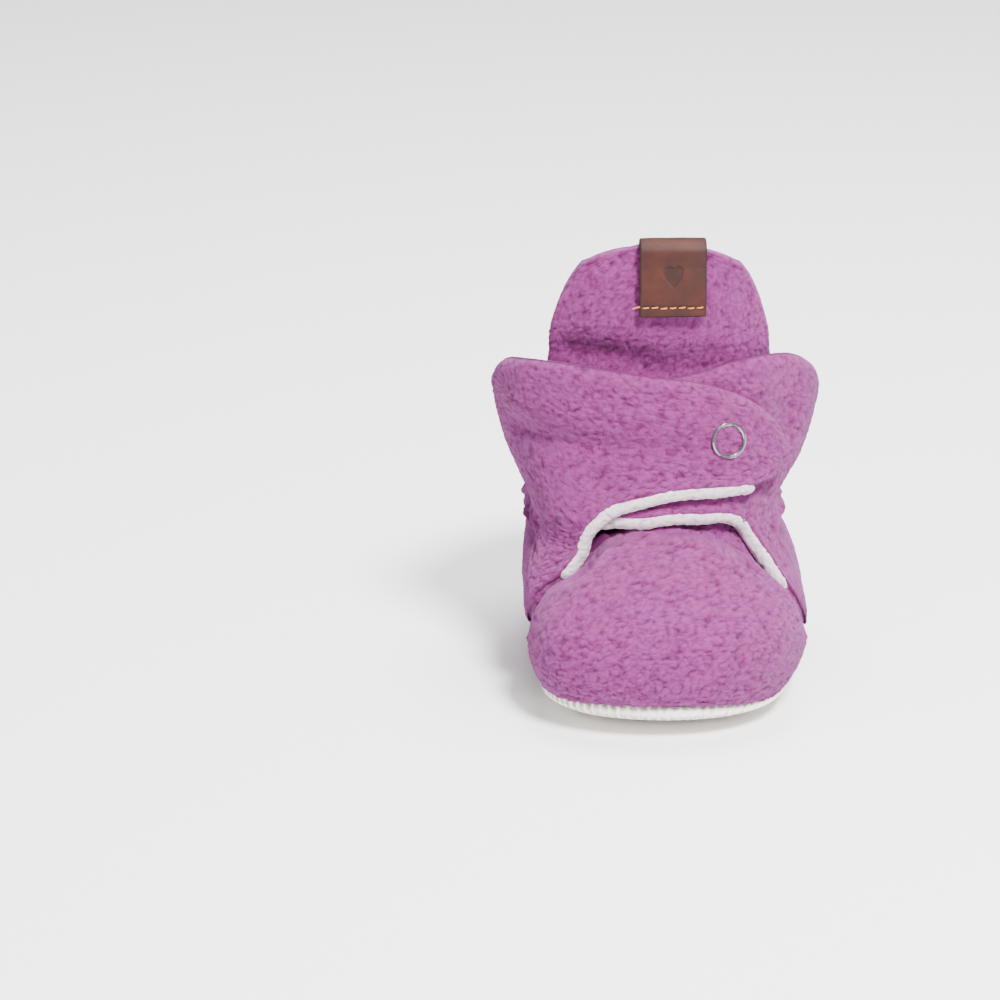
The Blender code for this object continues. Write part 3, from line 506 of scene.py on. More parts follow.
def wire(tree, source, output, target, socket):
    """Link one node's output to another node's input."""
    tree.links.new(source.outputs[output], target.inputs[socket])


def texture(tree, place, kind, inputs, **settings):
    """Texture node that follows the object's own coordinates."""
    node = add_node(tree, kind, inputs, **settings)
    wire(tree, place, "Object", node, "Vector")
    return node


def noise_texture(tree, place, scale, detail, roughness=0.5):
    """Noise that follows the object's own coordinates."""
    inputs = {"Scale": scale, "Detail": detail, "Roughness": roughness}
    return texture(tree, place, "ShaderNodeTexNoise", inputs)


def bands(tree, place, way, scale, distortion=0.0):
    """Wave texture in bands."""
    return texture(tree, place, "ShaderNodeTexWave", {"Scale": scale, "Distortion": distortion},
                   wave_type="BANDS", bands_direction=way)


def multiply_add(tree, source, output, factor, added, added_output):
    """One output times a factor, plus another output."""
    node = add_node(tree, "ShaderNodeMath", {1: factor}, operation="MULTIPLY_ADD")
    wire(tree, source, output, node, 0)
    wire(tree, added, added_output, node, 2)
    return node


def ramp_node(tree, source, output, *stops):
    """Colour ramp over a node's output."""
    node = tree.nodes.new("ShaderNodeValToRGB")
    bar = node.color_ramp
    while len(bar.elements) < len(stops):
        bar.elements.new(0.5)
    for element, (place, colour) in zip(bar.elements, stops):
        element.position = place
        element.color = (*colour, 1)
    wire(tree, source, output, node, "Fac")
    return node


def add_relief(tree, shader, source, output, strength, distance):
    """Bump on a shader, from a node's output."""
    relief = add_node(tree, "ShaderNodeBump", {"Strength": strength, "Distance": distance})
    wire(tree, source, output, relief, "Height")
    wire(tree, relief, "Normal", shader, "Normal")


def linear(*parts):
    """Linear colour from an sRGB one of 0 to 255."""
    value = np.array(parts) / 255
    bright = ((value + 0.055) / 1.055) ** 2.4
    return tuple(float(v) for v in np.where(value <= 0.04045, value / 12.92, bright))


FIBRE_SHARE = 0.42
FIBRE_STRETCH = (0.7, 1.0, 1.5)


def pile_material(name, shaded_gap, middle, lit_tip, tint, sheen, sheen_tint):
    """Fleece: colour from the pile's height and two noises, sheen, and a fine fibre bump. The colour is
    darker in the gaps between tufts as painted shade, and lighter at the tufts' tips as painted highlight.
    """
    made, tree, shader = shader_of(name)
    place = add_node(tree, "ShaderNodeTexCoord")
    stretch = add_node(tree, "ShaderNodeMapping", {"Scale": FIBRE_STRETCH})
    fibre = noise_texture(tree, place, 2600.0, 3.0, 0.7)
    patch = noise_texture(tree, place, 85.0, 2.0)
    height = add_node(tree, "ShaderNodeAttribute", attribute_name="nap")
    wire(tree, place, "Object", stretch, "Vector")
    wire(tree, stretch, "Vector", fibre, "Vector")
    blend = multiply_add(tree, fibre, "Fac", FIBRE_SHARE, height, "Fac")
    shift = add_node(tree, "ShaderNodeMath", {1: FIBRE_SHARE / 2}, operation="SUBTRACT")
    wire(tree, blend, "Value", shift, 0)
    # Painted shade and highlight: the pile's height sets the colour, from dark in the gaps between tufts to
    # light at their tips.
    pile = ramp_node(tree, shift, "Value", (0.18, shaded_gap), (0.5, middle), (0.92, lit_tip))
    both = add_node(tree, "ShaderNodeMix", data_type="RGBA", blend_type="MULTIPLY")
    set_inputs(both, {"Factor": 1.0, "B": (*tint, 1)})
    wire(tree, pile, "Color", both, "A")
    tinted = add_node(tree, "ShaderNodeMix", data_type="RGBA", blend_type="MIX")
    wire(tree, patch, "Fac", tinted, "Factor")
    wire(tree, pile, "Color", tinted, "A")
    wire(tree, both, "Result", tinted, "B")
    wire(tree, tinted, "Result", shader, "Base Color")
    add_relief(tree, shader, fibre, "Fac", 0.8, 0.0006)
    set_inputs(shader, {"Roughness": 0.95, "Specular IOR Level": 0.15, "Sheen Weight": sheen,
                        "Sheen Roughness": 0.45, "Sheen Tint": (*sheen_tint, 1)})
    return made


def weave_material():
    """Coarse ivory basket-weave grip cloth."""
    made, tree, shader = shader_of("ivory_grip_cloth")
    place = add_node(tree, "ShaderNodeTexCoord")
    warp, weft = (bands(tree, place, way, 150.0, 0.4) for way in "XY")
    fuzz = noise_texture(tree, place, 900.0, 3.0, 0.6)
    cross = add_node(tree, "ShaderNodeMath", operation="MAXIMUM")
    wire(tree, warp, "Fac", cross, 0)
    wire(tree, weft, "Fac", cross, 1)
    weave = multiply_add(tree, fuzz, "Fac", 0.6, cross, "Value")
    colour = ramp_node(tree, weave, "Value", (0.25, linear(214, 196, 178)), (0.75, linear(240, 229, 216)),
                       (1.0, linear(249, 242, 234)))
    wire(tree, colour, "Color", shader, "Base Color")
    add_relief(tree, shader, weave, "Value", 0.35, 0.0004)
    set_inputs(shader, {"Roughness": 0.88, "Specular IOR Level": 0.25, "Sheen Weight": 0.15})
    return made


def leather_material():
    """Brown leather with grain, darker where the attribute says edge or stamp."""
    made, tree, shader = shader_of("brown_leather")
    place = add_node(tree, "ShaderNodeTexCoord")
    grain = texture(tree, place, "ShaderNodeTexVoronoi", {"Scale": 1500.0})
    cloud = noise_texture(tree, place, 160.0, 4.0, 0.6)
    dark = add_node(tree, "ShaderNodeAttribute", attribute_name="nap")
    base = ramp_node(tree, cloud, "Fac", (0.3, linear(40, 11, 5)), (0.5, linear(51, 16, 8)),
                     (0.72, linear(62, 22, 11)))
    burn = add_node(tree, "ShaderNodeMix", data_type="RGBA", blend_type="MIX")
    set_inputs(burn, {"B": (*linear(30, 10, 6), 1)})
    wire(tree, dark, "Fac", burn, "Factor")
    wire(tree, base, "Color", burn, "A")
    wire(tree, burn, "Result", shader, "Base Color")
    add_relief(tree, shader, grain, "Distance", 0.25, 0.0002)
    set_inputs(shader, {"Roughness": 0.68, "Specular IOR Level": 0.3})
    return made


def thread_material():
    """Tan sewing thread with a twist."""
    made, tree, shader = shader_of("tan_thread")
    colour = linear(196, 128, 62)
    twist = bands(tree, add_node(tree, "ShaderNodeTexCoord"), "DIAGONAL", 900.0)
    tone = ramp_node(tree, twist, "Fac", (0.0, tuple(c * 0.62 for c in colour)), (1.0, colour))
    wire(tree, tone, "Color", shader, "Base Color")
    add_relief(tree, shader, twist, "Fac", 0.5, 0.0002)
    set_inputs(shader, {"Roughness": 0.6})
    return made


def steel_material():
    """Plated steel with slight wear."""
    made, tree, shader = shader_of("plated_steel")
    wear = noise_texture(tree, add_node(tree, "ShaderNodeTexCoord"), 1400.0, 3.0)
    rough = ramp_node(tree, wear, "Fac", (0.3, (0.12, 0.12, 0.12)), (0.8, (0.3, 0.3, 0.3)))
    wire(tree, rough, "Color", shader, "Roughness")
    set_inputs(shader, {"Base Color": (0.36, 0.35, 0.37, 1), "Metallic": 1.0})
    return made


def elastic_material():
    """White knitted elastic with ribs."""
    made, tree, shader = shader_of("knit_elastic")
    rib = bands(tree, add_node(tree, "ShaderNodeTexCoord"), "Z", 320.0)
    tone = ramp_node(tree, rib, "Fac", (0.0, (0.55, 0.54, 0.52)), (1.0, (0.86, 0.85, 0.83)))
    wire(tree, tone, "Color", shader, "Base Color")
    set_inputs(shader, {"Roughness": 0.8})
    return made


# For each fleece, the first colour is painted shade in the gaps between tufts, and the third is a painted
# highlight on the tips.
fleece = pile_material("orchid_fleece", linear(60, 15, 51), linear(96, 34, 86), linear(128, 56, 118),
                       (1.08, 0.86, 0.86), 0.25, linear(214, 176, 228))
white_fleece = pile_material("white_fleece", linear(160, 136, 147), linear(206, 187, 195),
                             linear(232, 218, 224), (0.97, 0.95, 0.96), 0.2, (1, 1, 1))
grip_cloth = weave_material()
leather = leather_material()
tan_thread = thread_material()
steel = steel_material()
knit = elastic_material()


# ================================================================ front piece: vamp and tongue
FRONT_WIDTH = 118
TOE_LENGTH, STATION_LENGTH = 72, 18
LAST_STATION = 2.2
TONGUE_FROM, TOP_FROM, TOP_LENGTH, TOP_MARGIN = 57.5, 96, 26, 0.15
JOIN_LENGTH, BEND_LENGTH = 7, 14
VAMP_VALLEYS = [
    ([(-19, -30, 46), (-22, -33, 40), (-24.5, -37, 32), (-27, -41, 24)], 2.8, 2.5),
    ([(17.5, -29, 47), (21, -32, 40.5), (25, -36, 32), (28, -40, 25)], 2.8, 2.5),
]
VAMP_BULGES = [(1.1, -29.5, 27), (1.0, 30.5, 25)]
TONGUE_VALLEYS = [
    ([(-27, -6, 89), (-14, -10, 88), (0, -12, 85), (12, -11, 88)], 4.5, 2.8),
    ([(2, -11, 92), (14, -10, 96)], 5.0, 0.6),
]
SHOE_INSIDE = (TONGUE_CENTRE, -8.0, 86.0)


def even_rows(low, high, step):
    """Values from low to high, about a step apart."""
    return np.linspace(low, high, max(3, int(abs(high - low) / step) + 1))


def front_grid(count):
    """Rows from the toe seam to the tongue's top edge, columns from the outer to the inner side."""
    u = np.linspace(-1, 1, count)
    points = [dome_surface(u, np.full_like(u, v)) for v in even_rows(-1, 0, STEP / TOE_LENGTH)]
    for v in even_rows(0, LAST_STATION, STEP / STATION_LENGTH)[1:]:
        points.append(station_surface(u, np.full_like(u, v)))
    vamp = tuck(np.stack(points))
    turn = np.linspace(0, math.pi / 2, int(TOP_LENGTH / STEP))[1:]
    round_top = TOP_FROM + (TONGUE_TOP - TOP_MARGIN - TOP_FROM) * np.sin(turn)
    heights = np.concatenate([even_rows(TONGUE_FROM, TOP_FROM, STEP), round_top])
    tongue = tongue_surface(u[None, :], heights[:, None])
    span = int(JOIN_LENGTH / STEP)
    leaving = (vamp[-1] - vamp[-3]) / 4 * span
    arriving = (tongue[2] - tongue[0]) / 4 * span
    joins = []
    for t in np.linspace(0, 1, span + 2)[1:-1]:
        ahead = t * t * (3 - 2 * t)
        slopes = t * (1 - t) ** 2 * leaving - t * t * (1 - t) * arriving
        joins.append((1 - ahead) * vamp[-1] + ahead * tongue[0] + slopes)
    return np.concatenate([vamp, np.stack(joins), tongue]), len(vamp) + len(joins)


def valley(grid, line, width, depth):
    """A groove pressed along a line of points."""
    line = np.array(line, float)
    nearest = np.full(grid.shape[:-1], 1e9)
    for start, end in zip(line[:-1], line[1:]):
        along = end - start
        t = np.clip(((grid - start) @ along) / (along @ along), 0, 1)
        nearest = np.minimum(nearest, np.linalg.norm(grid - (start + t[..., None] * along), axis=-1))
    return -depth * np.exp(-(nearest / width) ** 2)


def smoothed(grid, rounds):
    """A grid evened out over its neighbours; its border stays."""
    grid = grid.copy()
    for _ in range(rounds):
        grid[1:-1, 1:-1] = (grid[1:-1, 1:-1] * 2 + grid[:-2, 1:-1] + grid[2:, 1:-1]
                            + grid[1:-1, :-2] + grid[1:-1, 2:]) / 6
    return grid


def outward(grid, tongue_row):
    """Directions away from the foot over the front piece."""
    out = normals(grid, 4)
    return -out if np.mean(out[: tongue_row // 2, :, 2]) < 0 else out


def front_folds(base):
    """Folds beside the toe and across the tongue."""
    x, y, z = np.moveaxis(base, -1, 0)
    folds = sum(valley(base, *fold) for fold in VAMP_VALLEYS)
    for height, middle_x, middle_z in VAMP_BULGES:
        folds += height * hump(middle_x, 5, x) * hump(middle_z, 9, z) * (y < -20)
    for fold in TONGUE_VALLEYS:
        folds += valley(base, *fold)
    return folds


def free_edge(base):
    """Distance to the nearest side edge or the top edge."""
    columns = np.arange(base.shape[1])
    side = np.minimum(columns, columns[::-1])[None, :]
    spacing = np.linalg.norm(np.diff(base, axis=1), axis=-1).mean(1)[:, None]
    top = np.linalg.norm(np.diff(base, axis=0), axis=-1).mean(1)
    from_top = np.append(np.cumsum(top[::-1])[::-1], 0)[:, None]
    return np.minimum(side * spacing, from_top)


def front_fleece(base, out, folds, edge, is_tongue):
    """Fleece outside of the vamp and tongue, turned in at the toe seam and rolled at the tongue's edge, with
    painted shade at the tongue's base.
    """
    height, share = fleece_nap(base, FLEECE_SEED)
    # Painted shade: the pile's share sets its colour, and it is lowered on the tongue below about 90 mm. This
    # darkens the tongue's base behind the strap.
    share = share - 0.1 * is_tongue * ease(96, 84, base[..., 2])
    at_seam = ease(4, 0, np.arange(len(base)) * STEP)[:, None]
    rolled = edge_round(edge, 3.2, 2.6) * is_tongue
    lift = COVER + folds + height * (1 - 0.3 * at_seam) - rolled
    at_toe = at_seam * ease(0, -25, base[..., 1])
    outer = base + out * (lift - 0.8 * at_toe)[..., None]
    inner = base - out * (SHELL_BACK - np.minimum(folds, 0))[..., None]
    outer[..., 2] += at_toe
    inner[..., 2] += at_toe
    front = cloth("vamp_and_tongue_fleece", fleece, outer, inner, share)
    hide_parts("vamp_shell", "tongue_shell")
    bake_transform(front)


def front_lining(core, out, sunk, edge, is_tongue):
    """White lining inside the vamp and tongue, which shows round the tongue's edge."""
    core = core - out * (1 - is_tongue)[..., None]
    soft, share = fleece_nap(core, LINING_SEED, LINING_NAP)
    rolled = edge_round(edge, 3.0, 1.6) * is_tongue
    face = core - out * (LINING_FACE + soft - rolled + sunk)[..., None]
    back = core - out * (LINING_BACK + sunk)[..., None]
    trim = unit(np.array(SHOE_INSIDE) - core) * (1.5 * ease(5, 0, edge) * is_tongue)[..., None]
    grids = every_second(face + trim, back + trim, share)
    lining = cloth("vamp_and_tongue_lining", white_fleece, *(grid[:, ::-1] for grid in grids))
    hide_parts("vamp_lining", "tongue_lining")
    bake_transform(lining)


def make_front():
    """Vamp and tongue, cut in one."""
    base, tongue_row = front_grid(int(FRONT_WIDTH / STEP))
    base = smoothed(base, 3)
    folds = front_folds(base)
    edge = free_edge(base)
    is_tongue = ease(tongue_row - BEND_LENGTH / STEP, tongue_row, np.arange(len(base)))[:, None]
    front_fleece(base, outward(base, tongue_row), folds, edge, is_tongue)
    core = smoothed(base, int(60 / STEP ** 2))
    grids = (core, outward(core, tongue_row), -np.minimum(folds, 0), edge, is_tongue)
    front_lining(*(grid[int(2 / STEP):-1] for grid in grids))


make_front()


# ================================================================ back piece: two halves
SPLIT_Z = 46.6
ROLL_HIGH = 1.3
CUFF_ANGLE = 90
CASING = [(2.3, 43, 2.7), (-1.5, 47.8, 2.0), (-1.5, 38.2, 2.0)]  # height, middle, width
GATHER = 0.75
END_LEAD, END_SQUEEZE = 2.4, 0.999
UPPER_TALL, LOWER_TALL = 46, 44
SNAP_PRESS = 1.5
CHANNEL_DEPTH = 1.5


def wrapped(angle):
    """The same angle between -180 and 180 degrees."""
    return (np.asarray(angle, float) + 180) % 360 - 180


def seam_height(angle):
    """Height of the sole seam under an angle."""
    edge = wrap_surface(wrapped(angle), 4.0)
    return sole_bottom(edge[..., 0], edge[..., 1]) + OUTSOLE + 0.2


def low_edge(angle, knots):
    """Height of a half's lower edge: the sole seam behind the knots' last angle."""
    turn = wrapped(angle)
    seam = seam_height(turn)
    return np.where(np.abs(turn) > HEEL_ANGLE, seam, np.maximum(seam, curve(knots, turn)))


Half = collections.namedtuple("Half", "body rise low_knots top_knots start end lean power")
INNER = Half("strap", STRAP_LIFT, INNER_LOW, STRAP_TOP, -180, STRAP_END, -2.0, 2.3)
OUTER = Half("flap", 0.0, OUTER_LOW, FLAP_TOP, 180, FLAP_END, 0.0, 5.0)


def top_edge(half, angle):
    """Height of a half's upper edge: the cuff behind the ears, the wing's own edge in front."""
    turn = (wrapped(angle) + 90) % 360 - 90
    return np.where(turn > CUFF_ANGLE, curve(CUFF_TOP, turn), curve(half.top_knots, turn))


def half_face(half, angle, z):
    """Face of a half of the back piece. The inner half rises over the outer one in front."""
    turn = wrapped(angle)
    over = np.where(np.abs(turn) > CUFF_ANGLE, 0.0, ease(-80, -34, turn)) * ease(37, 50, z)
    return wrap_surface(turn, z, half.rise * over)


def half_normals(half, angle, z):
    """Outward directions of a half's face."""
    along = half_face(half, angle + 1.5, z) - half_face(half, angle - 1.5, z)
    return unit(np.cross(along, half_face(half, angle, z + 1) - half_face(half, angle, z - 1)))


def wrap_folds(angle, z, half):
    """Casing over the elastic, its gathers, and the soft creases of the wings."""
    turn = wrapped(angle)
    behind = ease(68, 82, np.abs(turn))
    shift = behind * sum(height * hump(middle, width, z) for height, middle, width in CASING)
    wave = np.sin(np.radians(turn) * 34 + 2.2 * np.sin(np.radians(turn) * 9))
    shift = shift + behind * GATHER * wave * np.sin(np.radians(turn) * 13 + 1) * hump(43, 8, z)
    if half is INNER:
        wing = ease(-70, -52, turn)
        shift = shift - 2.0 * hump(67.5, 3.2, z) * wing * ease(22, 4, turn)
        shift = shift + 0.9 * hump(76, 5, z) * wing * ease(30, 4, turn)
        return shift - 0.9 * hump(-22, 7, turn) * hump(60, 9, z)
    return shift - 1.5 * hump(50, 9, turn) * hump(70, 12, z) + 0.8 * hump(66, 7, turn) * hump(72, 10, z)


def even_angles(first, last):
    """Angles between first and last, evenly spaced along the cloth."""
    side = 90 - np.geomspace(1e-7, 2, 300)
    fine = np.concatenate([np.linspace(min(first, last), max(first, last), 1500), side, -side])
    fine = np.unique(np.clip(fine, min(first, last), max(first, last)))
    travel = np.zeros(len(fine) - 1)
    for z in (14.0, 30.0, 44.0, 70.0):
        travel = np.maximum(travel, np.linalg.norm(np.diff(wrap_surface(wrapped(fine), z), axis=0), axis=1))
    total = np.append(0, np.cumsum(travel))
    spread = np.interp(np.linspace(0, total[-1], int(total[-1] / STEP) + 2), total, fine)
    return spread if last > first else spread[::-1]


def region(half, upper, last):
    """Grid of angles and heights of a half's upper or lower part, rows going up."""
    angle = even_angles(half.start, last)
    if upper:
        ahead = np.linspace(0, math.pi / 2, int(abs(half.end - last) * 0.8 / STEP) + 8)[1:]
        angle = np.append(angle, last + (half.end - last) * np.sin(ahead) * END_SQUEEZE)
    low, top = low_edge(angle, half.low_knots), top_edge(half, angle)
    if upper:
        t = np.clip((angle - last) / (half.end - last), 0, 1)
        middle = 0.5 * (low + top) + half.lean * t
        shape = np.maximum(1 - t ** half.power, 0.0009) ** (1 / half.power)
        low = np.maximum(middle + (low - middle) * shape, SPLIT_Z)
        top = middle + (top - middle) * shape
    else:
        top = np.minimum(top, SPLIT_Z)
    share = np.linspace(0, 1, int((UPPER_TALL if upper else LOWER_TALL) / STEP))[:, None]
    return np.broadcast_to(angle, (len(share), len(angle))), low + (top - low) * share


def edge_distances(points, upper):
    """Distance in millimetres from the lower edge, the nearest other free edge, and the wing's end."""
    rise = np.linalg.norm(np.diff(points, axis=0), axis=-1)
    from_low = np.concatenate([np.zeros((1, rise.shape[1])), np.cumsum(rise, 0)])
    from_top = from_low[-1] - from_low
    if not upper:
        return from_low, from_top, None
    along = np.linalg.norm(np.diff(points, axis=1), axis=-1)
    to_end = np.concatenate([np.cumsum(along[:, ::-1], 1)[:, ::-1], np.zeros((len(along), 1))], 1)
    return from_low, np.minimum(from_top, to_end), to_end


Part = collections.namedtuple(
    "Part", "name half upper angle z plain out from_low from_top to_end free_low snap")


def lay_out(name, half, upper, last):
    """One part of the back piece: its grid, directions, and distances to its edges and the snap."""
    angle, z = region(half, upper, last)
    plain = half_face(half, angle, z)
    out = half_normals(half, angle, z)
    from_low, from_top, to_end = edge_distances(plain, upper)
    free = low_edge(angle, half.low_knots) > SPLIT_Z if upper else np.abs(wrapped(angle)) < HEEL_ANGLE
    snap = np.hypot((wrapped(angle) - SNAP_ANGLE) * MM_PER_DEGREE, z - SNAP_Z)
    return Part(name, half, upper, angle, z, plain, out, from_low, from_top, to_end, free.astype(float), snap)


def part_shell(part):
    """Fleece outside of a part, rolled over at its free edges."""
    height, share = fleece_nap(part.plain, FLEECE_SEED)
    rolled = part.free_low * edge_round(part.from_low, 1.4, 1.0)
    if part.upper:
        rolled = edge_round(part.from_top, 3.6, 3.0) + rolled
    shift = COVER + wrap_folds(part.angle, part.z, part.half) + height
    if part.name == "flap":
        shift = shift - SNAP_PRESS * ease(7.5, 5.5, part.snap)
    outer = part.plain + part.out * (shift - rolled)[..., None]
    inner = part.plain - part.out * SHELL_BACK
    for grid in (outer, inner):
        grid[..., 2] += part.free_low * ROLL_HIGH * ease(6, 0, part.from_low)
    order = -1 if part.half is INNER else 1
    shell = cloth(f"{part.name}_fleece", fleece, *(grid[:, ::order] for grid in (outer, inner, share)))
    return shell


def part_lining(part):
    """White lining of a part. It stops short of a wing's end, and makes the channel for the elastic."""
    angle, z, plain = part.angle, part.z, part.plain
    if part.upper:
        angle = angle - math.copysign(END_LEAD, part.half.end - part.half.start) * ease(8, 0, part.to_end)
        plain = half_face(part.half, angle, z)
    depth, share = fleece_nap(plain, LINING_SEED, LINING_NAP)
    depth = depth - SNAP_PRESS * ease(8.5, 6.5, part.snap)
    channel = CHANNEL_DEPTH * ease(38.2, 39.6, z) * ease(48.9, 46.6, z) * (np.abs(wrapped(part.angle)) > 92)
    sunk = channel - np.minimum(wrap_folds(angle, z, part.half), 0)
    if part.upper:
        depth = depth - edge_round(part.from_top, 3.4, 1.6)
    face = plain - part.out * (LINING_FACE + depth + sunk)[..., None]
    back = plain - part.out * (LINING_BACK + sunk)[..., None]
    if part.upper:
        for grid in (face, back):
            grid[..., 2] += 1.6 * part.free_low * ease(6, 0, part.from_low) - 0.9 * ease(5, 0, part.from_top)
    order = 1 if part.half is INNER else -1
    grids = every_second(*(grid[:, ::order] for grid in (face, back, share)))
    lining = cloth(f"{part.name}_lining", white_fleece, *grids)
    return lining


def bend_to(piece, upper):
    """Bake a part of the back piece's placement into its mesh, the same for upper and lower parts."""
    if upper:
        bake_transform(piece)
    else:
        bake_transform(piece)


def make_roll(name, half, first, last, upper, look, sink, taper):
    """Rolled lower edge of a wing."""
    angle = np.linspace(first, last, max(12, int(abs(last - first) * 1.3 / STEP)))
    z = low_edge(angle, half.low_knots) + ROLL_HIGH - 0.5
    out = half_normals(half, angle, z)
    path = half_face(half, angle, z) - out * sink
    path[:, 2] += 0.25 * np.sin(angle * 0.25)
    up = unit(np.cross(unit(np.gradient(path, axis=0)), out))
    roll = tube(name, look, path, out, up, taper)
    bend_to(roll, upper)


def crossing(knots, low, high):
    """Angle between low and high at which a lower edge passes the split height."""
    angle = np.linspace(low, high, 400)
    return float(angle[np.argmin(np.abs(low_edge(angle, knots) - SPLIT_Z))])


def make_back():
    """Heel panels, wings and the rolled edges below them."""
    inner_cross = crossing(INNER_LOW, -60, -10)
    outer_cross = crossing(OUTER_LOW, 20, 60)
    for name, half, upper, last, shell_node, lining_node in (
            ("inner_heel", INNER, False, inner_cross, "heel_shell", "heel_lining"),
            ("strap", INNER, True, STRAP_END_FROM, "strap_shell", "strap_lining"),
            ("outer_heel", OUTER, False, outer_cross, "heel_shell", "heel_lining"),
            ("flap", OUTER, True, FLAP_END_FROM, "flap_shell", "flap_lining")):
        part = lay_out(name, half, upper, last)
        shell, lining = part_shell(part), part_lining(part)
        bend_to(shell, upper)
        bend_to(lining, upper)
        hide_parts(shell_node)
        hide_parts(lining_node)
    for roll in (  # name, half, first and last angle, upper, look, sink, taper
            ("inner_heel_hem", INNER, -81, -48, False, fleece, 2.6, 1.6),
            ("strap_edge_low", INNER, -51, inner_cross + 3, False, white_fleece, 1.45, 5.0),
            ("strap_edge", INNER, inner_cross - 9, 37, True, white_fleece, 1.45, 8.0),
            ("outer_heel_hem", OUTER, 81, 66, False, fleece, 2.5, 1.6),
            ("flap_edge_low", OUTER, 69, outer_cross - 3, False, white_fleece, 1.45, 5.0),
            ("flap_edge", OUTER, outer_cross + 4, FLAP_END - 2, True, white_fleece, 1.45, 1.6)):
        make_roll(*roll)


make_back()


# ================================================================ sole
SOLE_RADIUS = 40
RIM_RISE, RIM_SPREAD = 2.1, 0.008
WEAVE_DEPTH, WEAVE_TURN = 0.06, 2.9
PAD_INSET, PAD_LOW, PAD_HIGH = 7.0, 0.9, 5.4
PAD_VOXEL = 0.0018
PAD_FRAMES, PAD_PRESSURE, PAD_REACH = 12, 4.0, 0.0009


def sole_grid(share, inset, lift):
    """Rings over the sole's underside, from its middle to an inset edge."""
    count = int(300 / STEP)
    ring = OUTLINE[np.linspace(0, len(OUTLINE), count, endpoint=False).astype(int)]
    length = np.hypot(*ring.T)
    plan = share[:, None, None] * (ring * ((length - inset) / length)[:, None])[None]
    height = sole_bottom(plan[..., 0], plan[..., 1]) + lift
    return np.concatenate([plan, height[..., None]], -1)


def closed_disc(name, look, lower, upper):
    """Closed sole-shaped piece from two stacks of rings, each from its middle to its rim."""
    rows, columns = lower.shape[:2]
    count = rows * columns
    verts = np.concatenate([lower.reshape(-1, 3), upper.reshape(-1, 3)])
    quads = ring_quads(rows, columns)
    first = np.arange(columns)
    last = first + count - columns
    after = np.roll(last, -1)
    rim = np.stack([last, after, count + after, count + last], -1)
    faces = np.concatenate([quads, quads[:, ::-1] + count, rim]).tolist()
    return mesh_object(name, verts, faces + [first.tolist(), (first + count)[::-1].tolist()], look)


def make_sole():
    """Grip cloth sole with a turned-up rim at the toe."""
    share = np.concatenate([[0.02], np.linspace(0.1, 1.0, int(SOLE_RADIUS / STEP))])
    lower = sole_grid(share, 0.0, 0.0)
    upper = sole_grid(share, 0.0, OUTSOLE)
    rim = ease(0.94, 1.0, share)[:, None] * ease(0, -25, upper[..., 1])
    upper[..., 2] += RIM_RISE * rim
    lower[..., :2] *= 1 + RIM_SPREAD * rim[..., None]
    upper[..., :2] *= 1 + RIM_SPREAD * rim[..., None]
    rim_in = edge_round((1 - share) * SOLE_RADIUS, 1.6, 0.8)[:, None]
    lower[..., 2] += rim_in
    upper[..., 2] -= rim_in * 0.6
    weave = np.sin(lower[..., 0] * WEAVE_TURN) * np.sin(lower[..., 1] * WEAVE_TURN) + 0.6 * noise(lower, 3.0)
    lower[..., 2] += WEAVE_DEPTH * (weave * (share < 0.97)[:, None] + 1)
    outsole = closed_disc("grip_sole", grip_cloth, lower, upper)
    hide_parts("outsole")
    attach(outsole, "shoe")


def make_insole():
    """Padded insole, swollen by a short cloth simulation."""
    share = np.linspace(0.04, 1.0, 26)
    lower = sole_grid(share, PAD_INSET, OUTSOLE + PAD_LOW)[:, ::6]
    upper = sole_grid(share, PAD_INSET, OUTSOLE + PAD_HIGH)[:, ::6]
    rounded = edge_round((1 - share) * SOLE_RADIUS, 5, 1.8)[:, None]
    lower[..., 2] += rounded
    upper[..., 2] -= rounded
    piece = closed_disc("insole_pad", white_fleece, lower, upper)
    swell(piece)
    smooth = piece.modifiers.new("smooth", "SUBSURF")
    smooth.levels = smooth.render_levels = 1
    apply_modifiers(piece)
    points = np.array([v.co for v in piece.data.vertices]) / MM
    soft, share = fleece_nap(points, PAD_SEED, LINING_NAP)
    points[:, 2] += soft * (points[:, 2] > 4)
    piece.data.vertices.foreach_set("co", (points * MM).astype(np.float32).ravel())
    write_nap(piece.data, share)
    piece.data.shade_smooth()
    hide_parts("sole_padding", "insole_lining")
    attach(piece, "shoe")


def apply_modifiers(piece):
    """Put a piece's modifiers into its mesh."""
    graph = bpy.context.evaluated_depsgraph_get()
    graph.update()
    mesh = bpy.data.meshes.new_from_object(piece.evaluated_get(graph))
    piece.modifiers.clear()
    old = piece.data
    piece.data = mesh
    bpy.data.meshes.remove(old)


def swell(piece):
    """Remesh a pad, blow it up with Cloth pressure, and cap how far a point may move."""
    remesh = piece.modifiers.new("remesh", "REMESH")
    remesh.mode = "VOXEL"
    remesh.voxel_size = PAD_VOXEL
    apply_modifiers(piece)
    if not piece.data.materials:
        piece.data.materials.append(white_fleece)
    before = np.array([v.co for v in piece.data.vertices])
    blow = piece.modifiers.new("cloth", "CLOTH")
    blow.settings.use_pressure = True
    blow.settings.uniform_pressure_force = PAD_PRESSURE
    blow.settings.effector_weights.gravity = 0.0
    blow.settings.quality = 4
    scene = bpy.context.scene
    for number in range(1, PAD_FRAMES + 1):
        scene.frame_set(number)
    graph = bpy.context.evaluated_depsgraph_get()
    moved = np.array([v.co for v in piece.evaluated_get(graph).data.vertices])
    piece.modifiers.remove(blow)
    scene.frame_set(1)
    if moved.shape == before.shape and np.isfinite(moved).all():
        step = moved - before
        far = np.linalg.norm(step, axis=1, keepdims=True)
        step *= np.minimum(1, PAD_REACH / np.maximum(far, 1e-9))
        piece.data.vertices.foreach_set("co", (before + step).astype(np.float32).ravel())


make_sole()
make_insole()


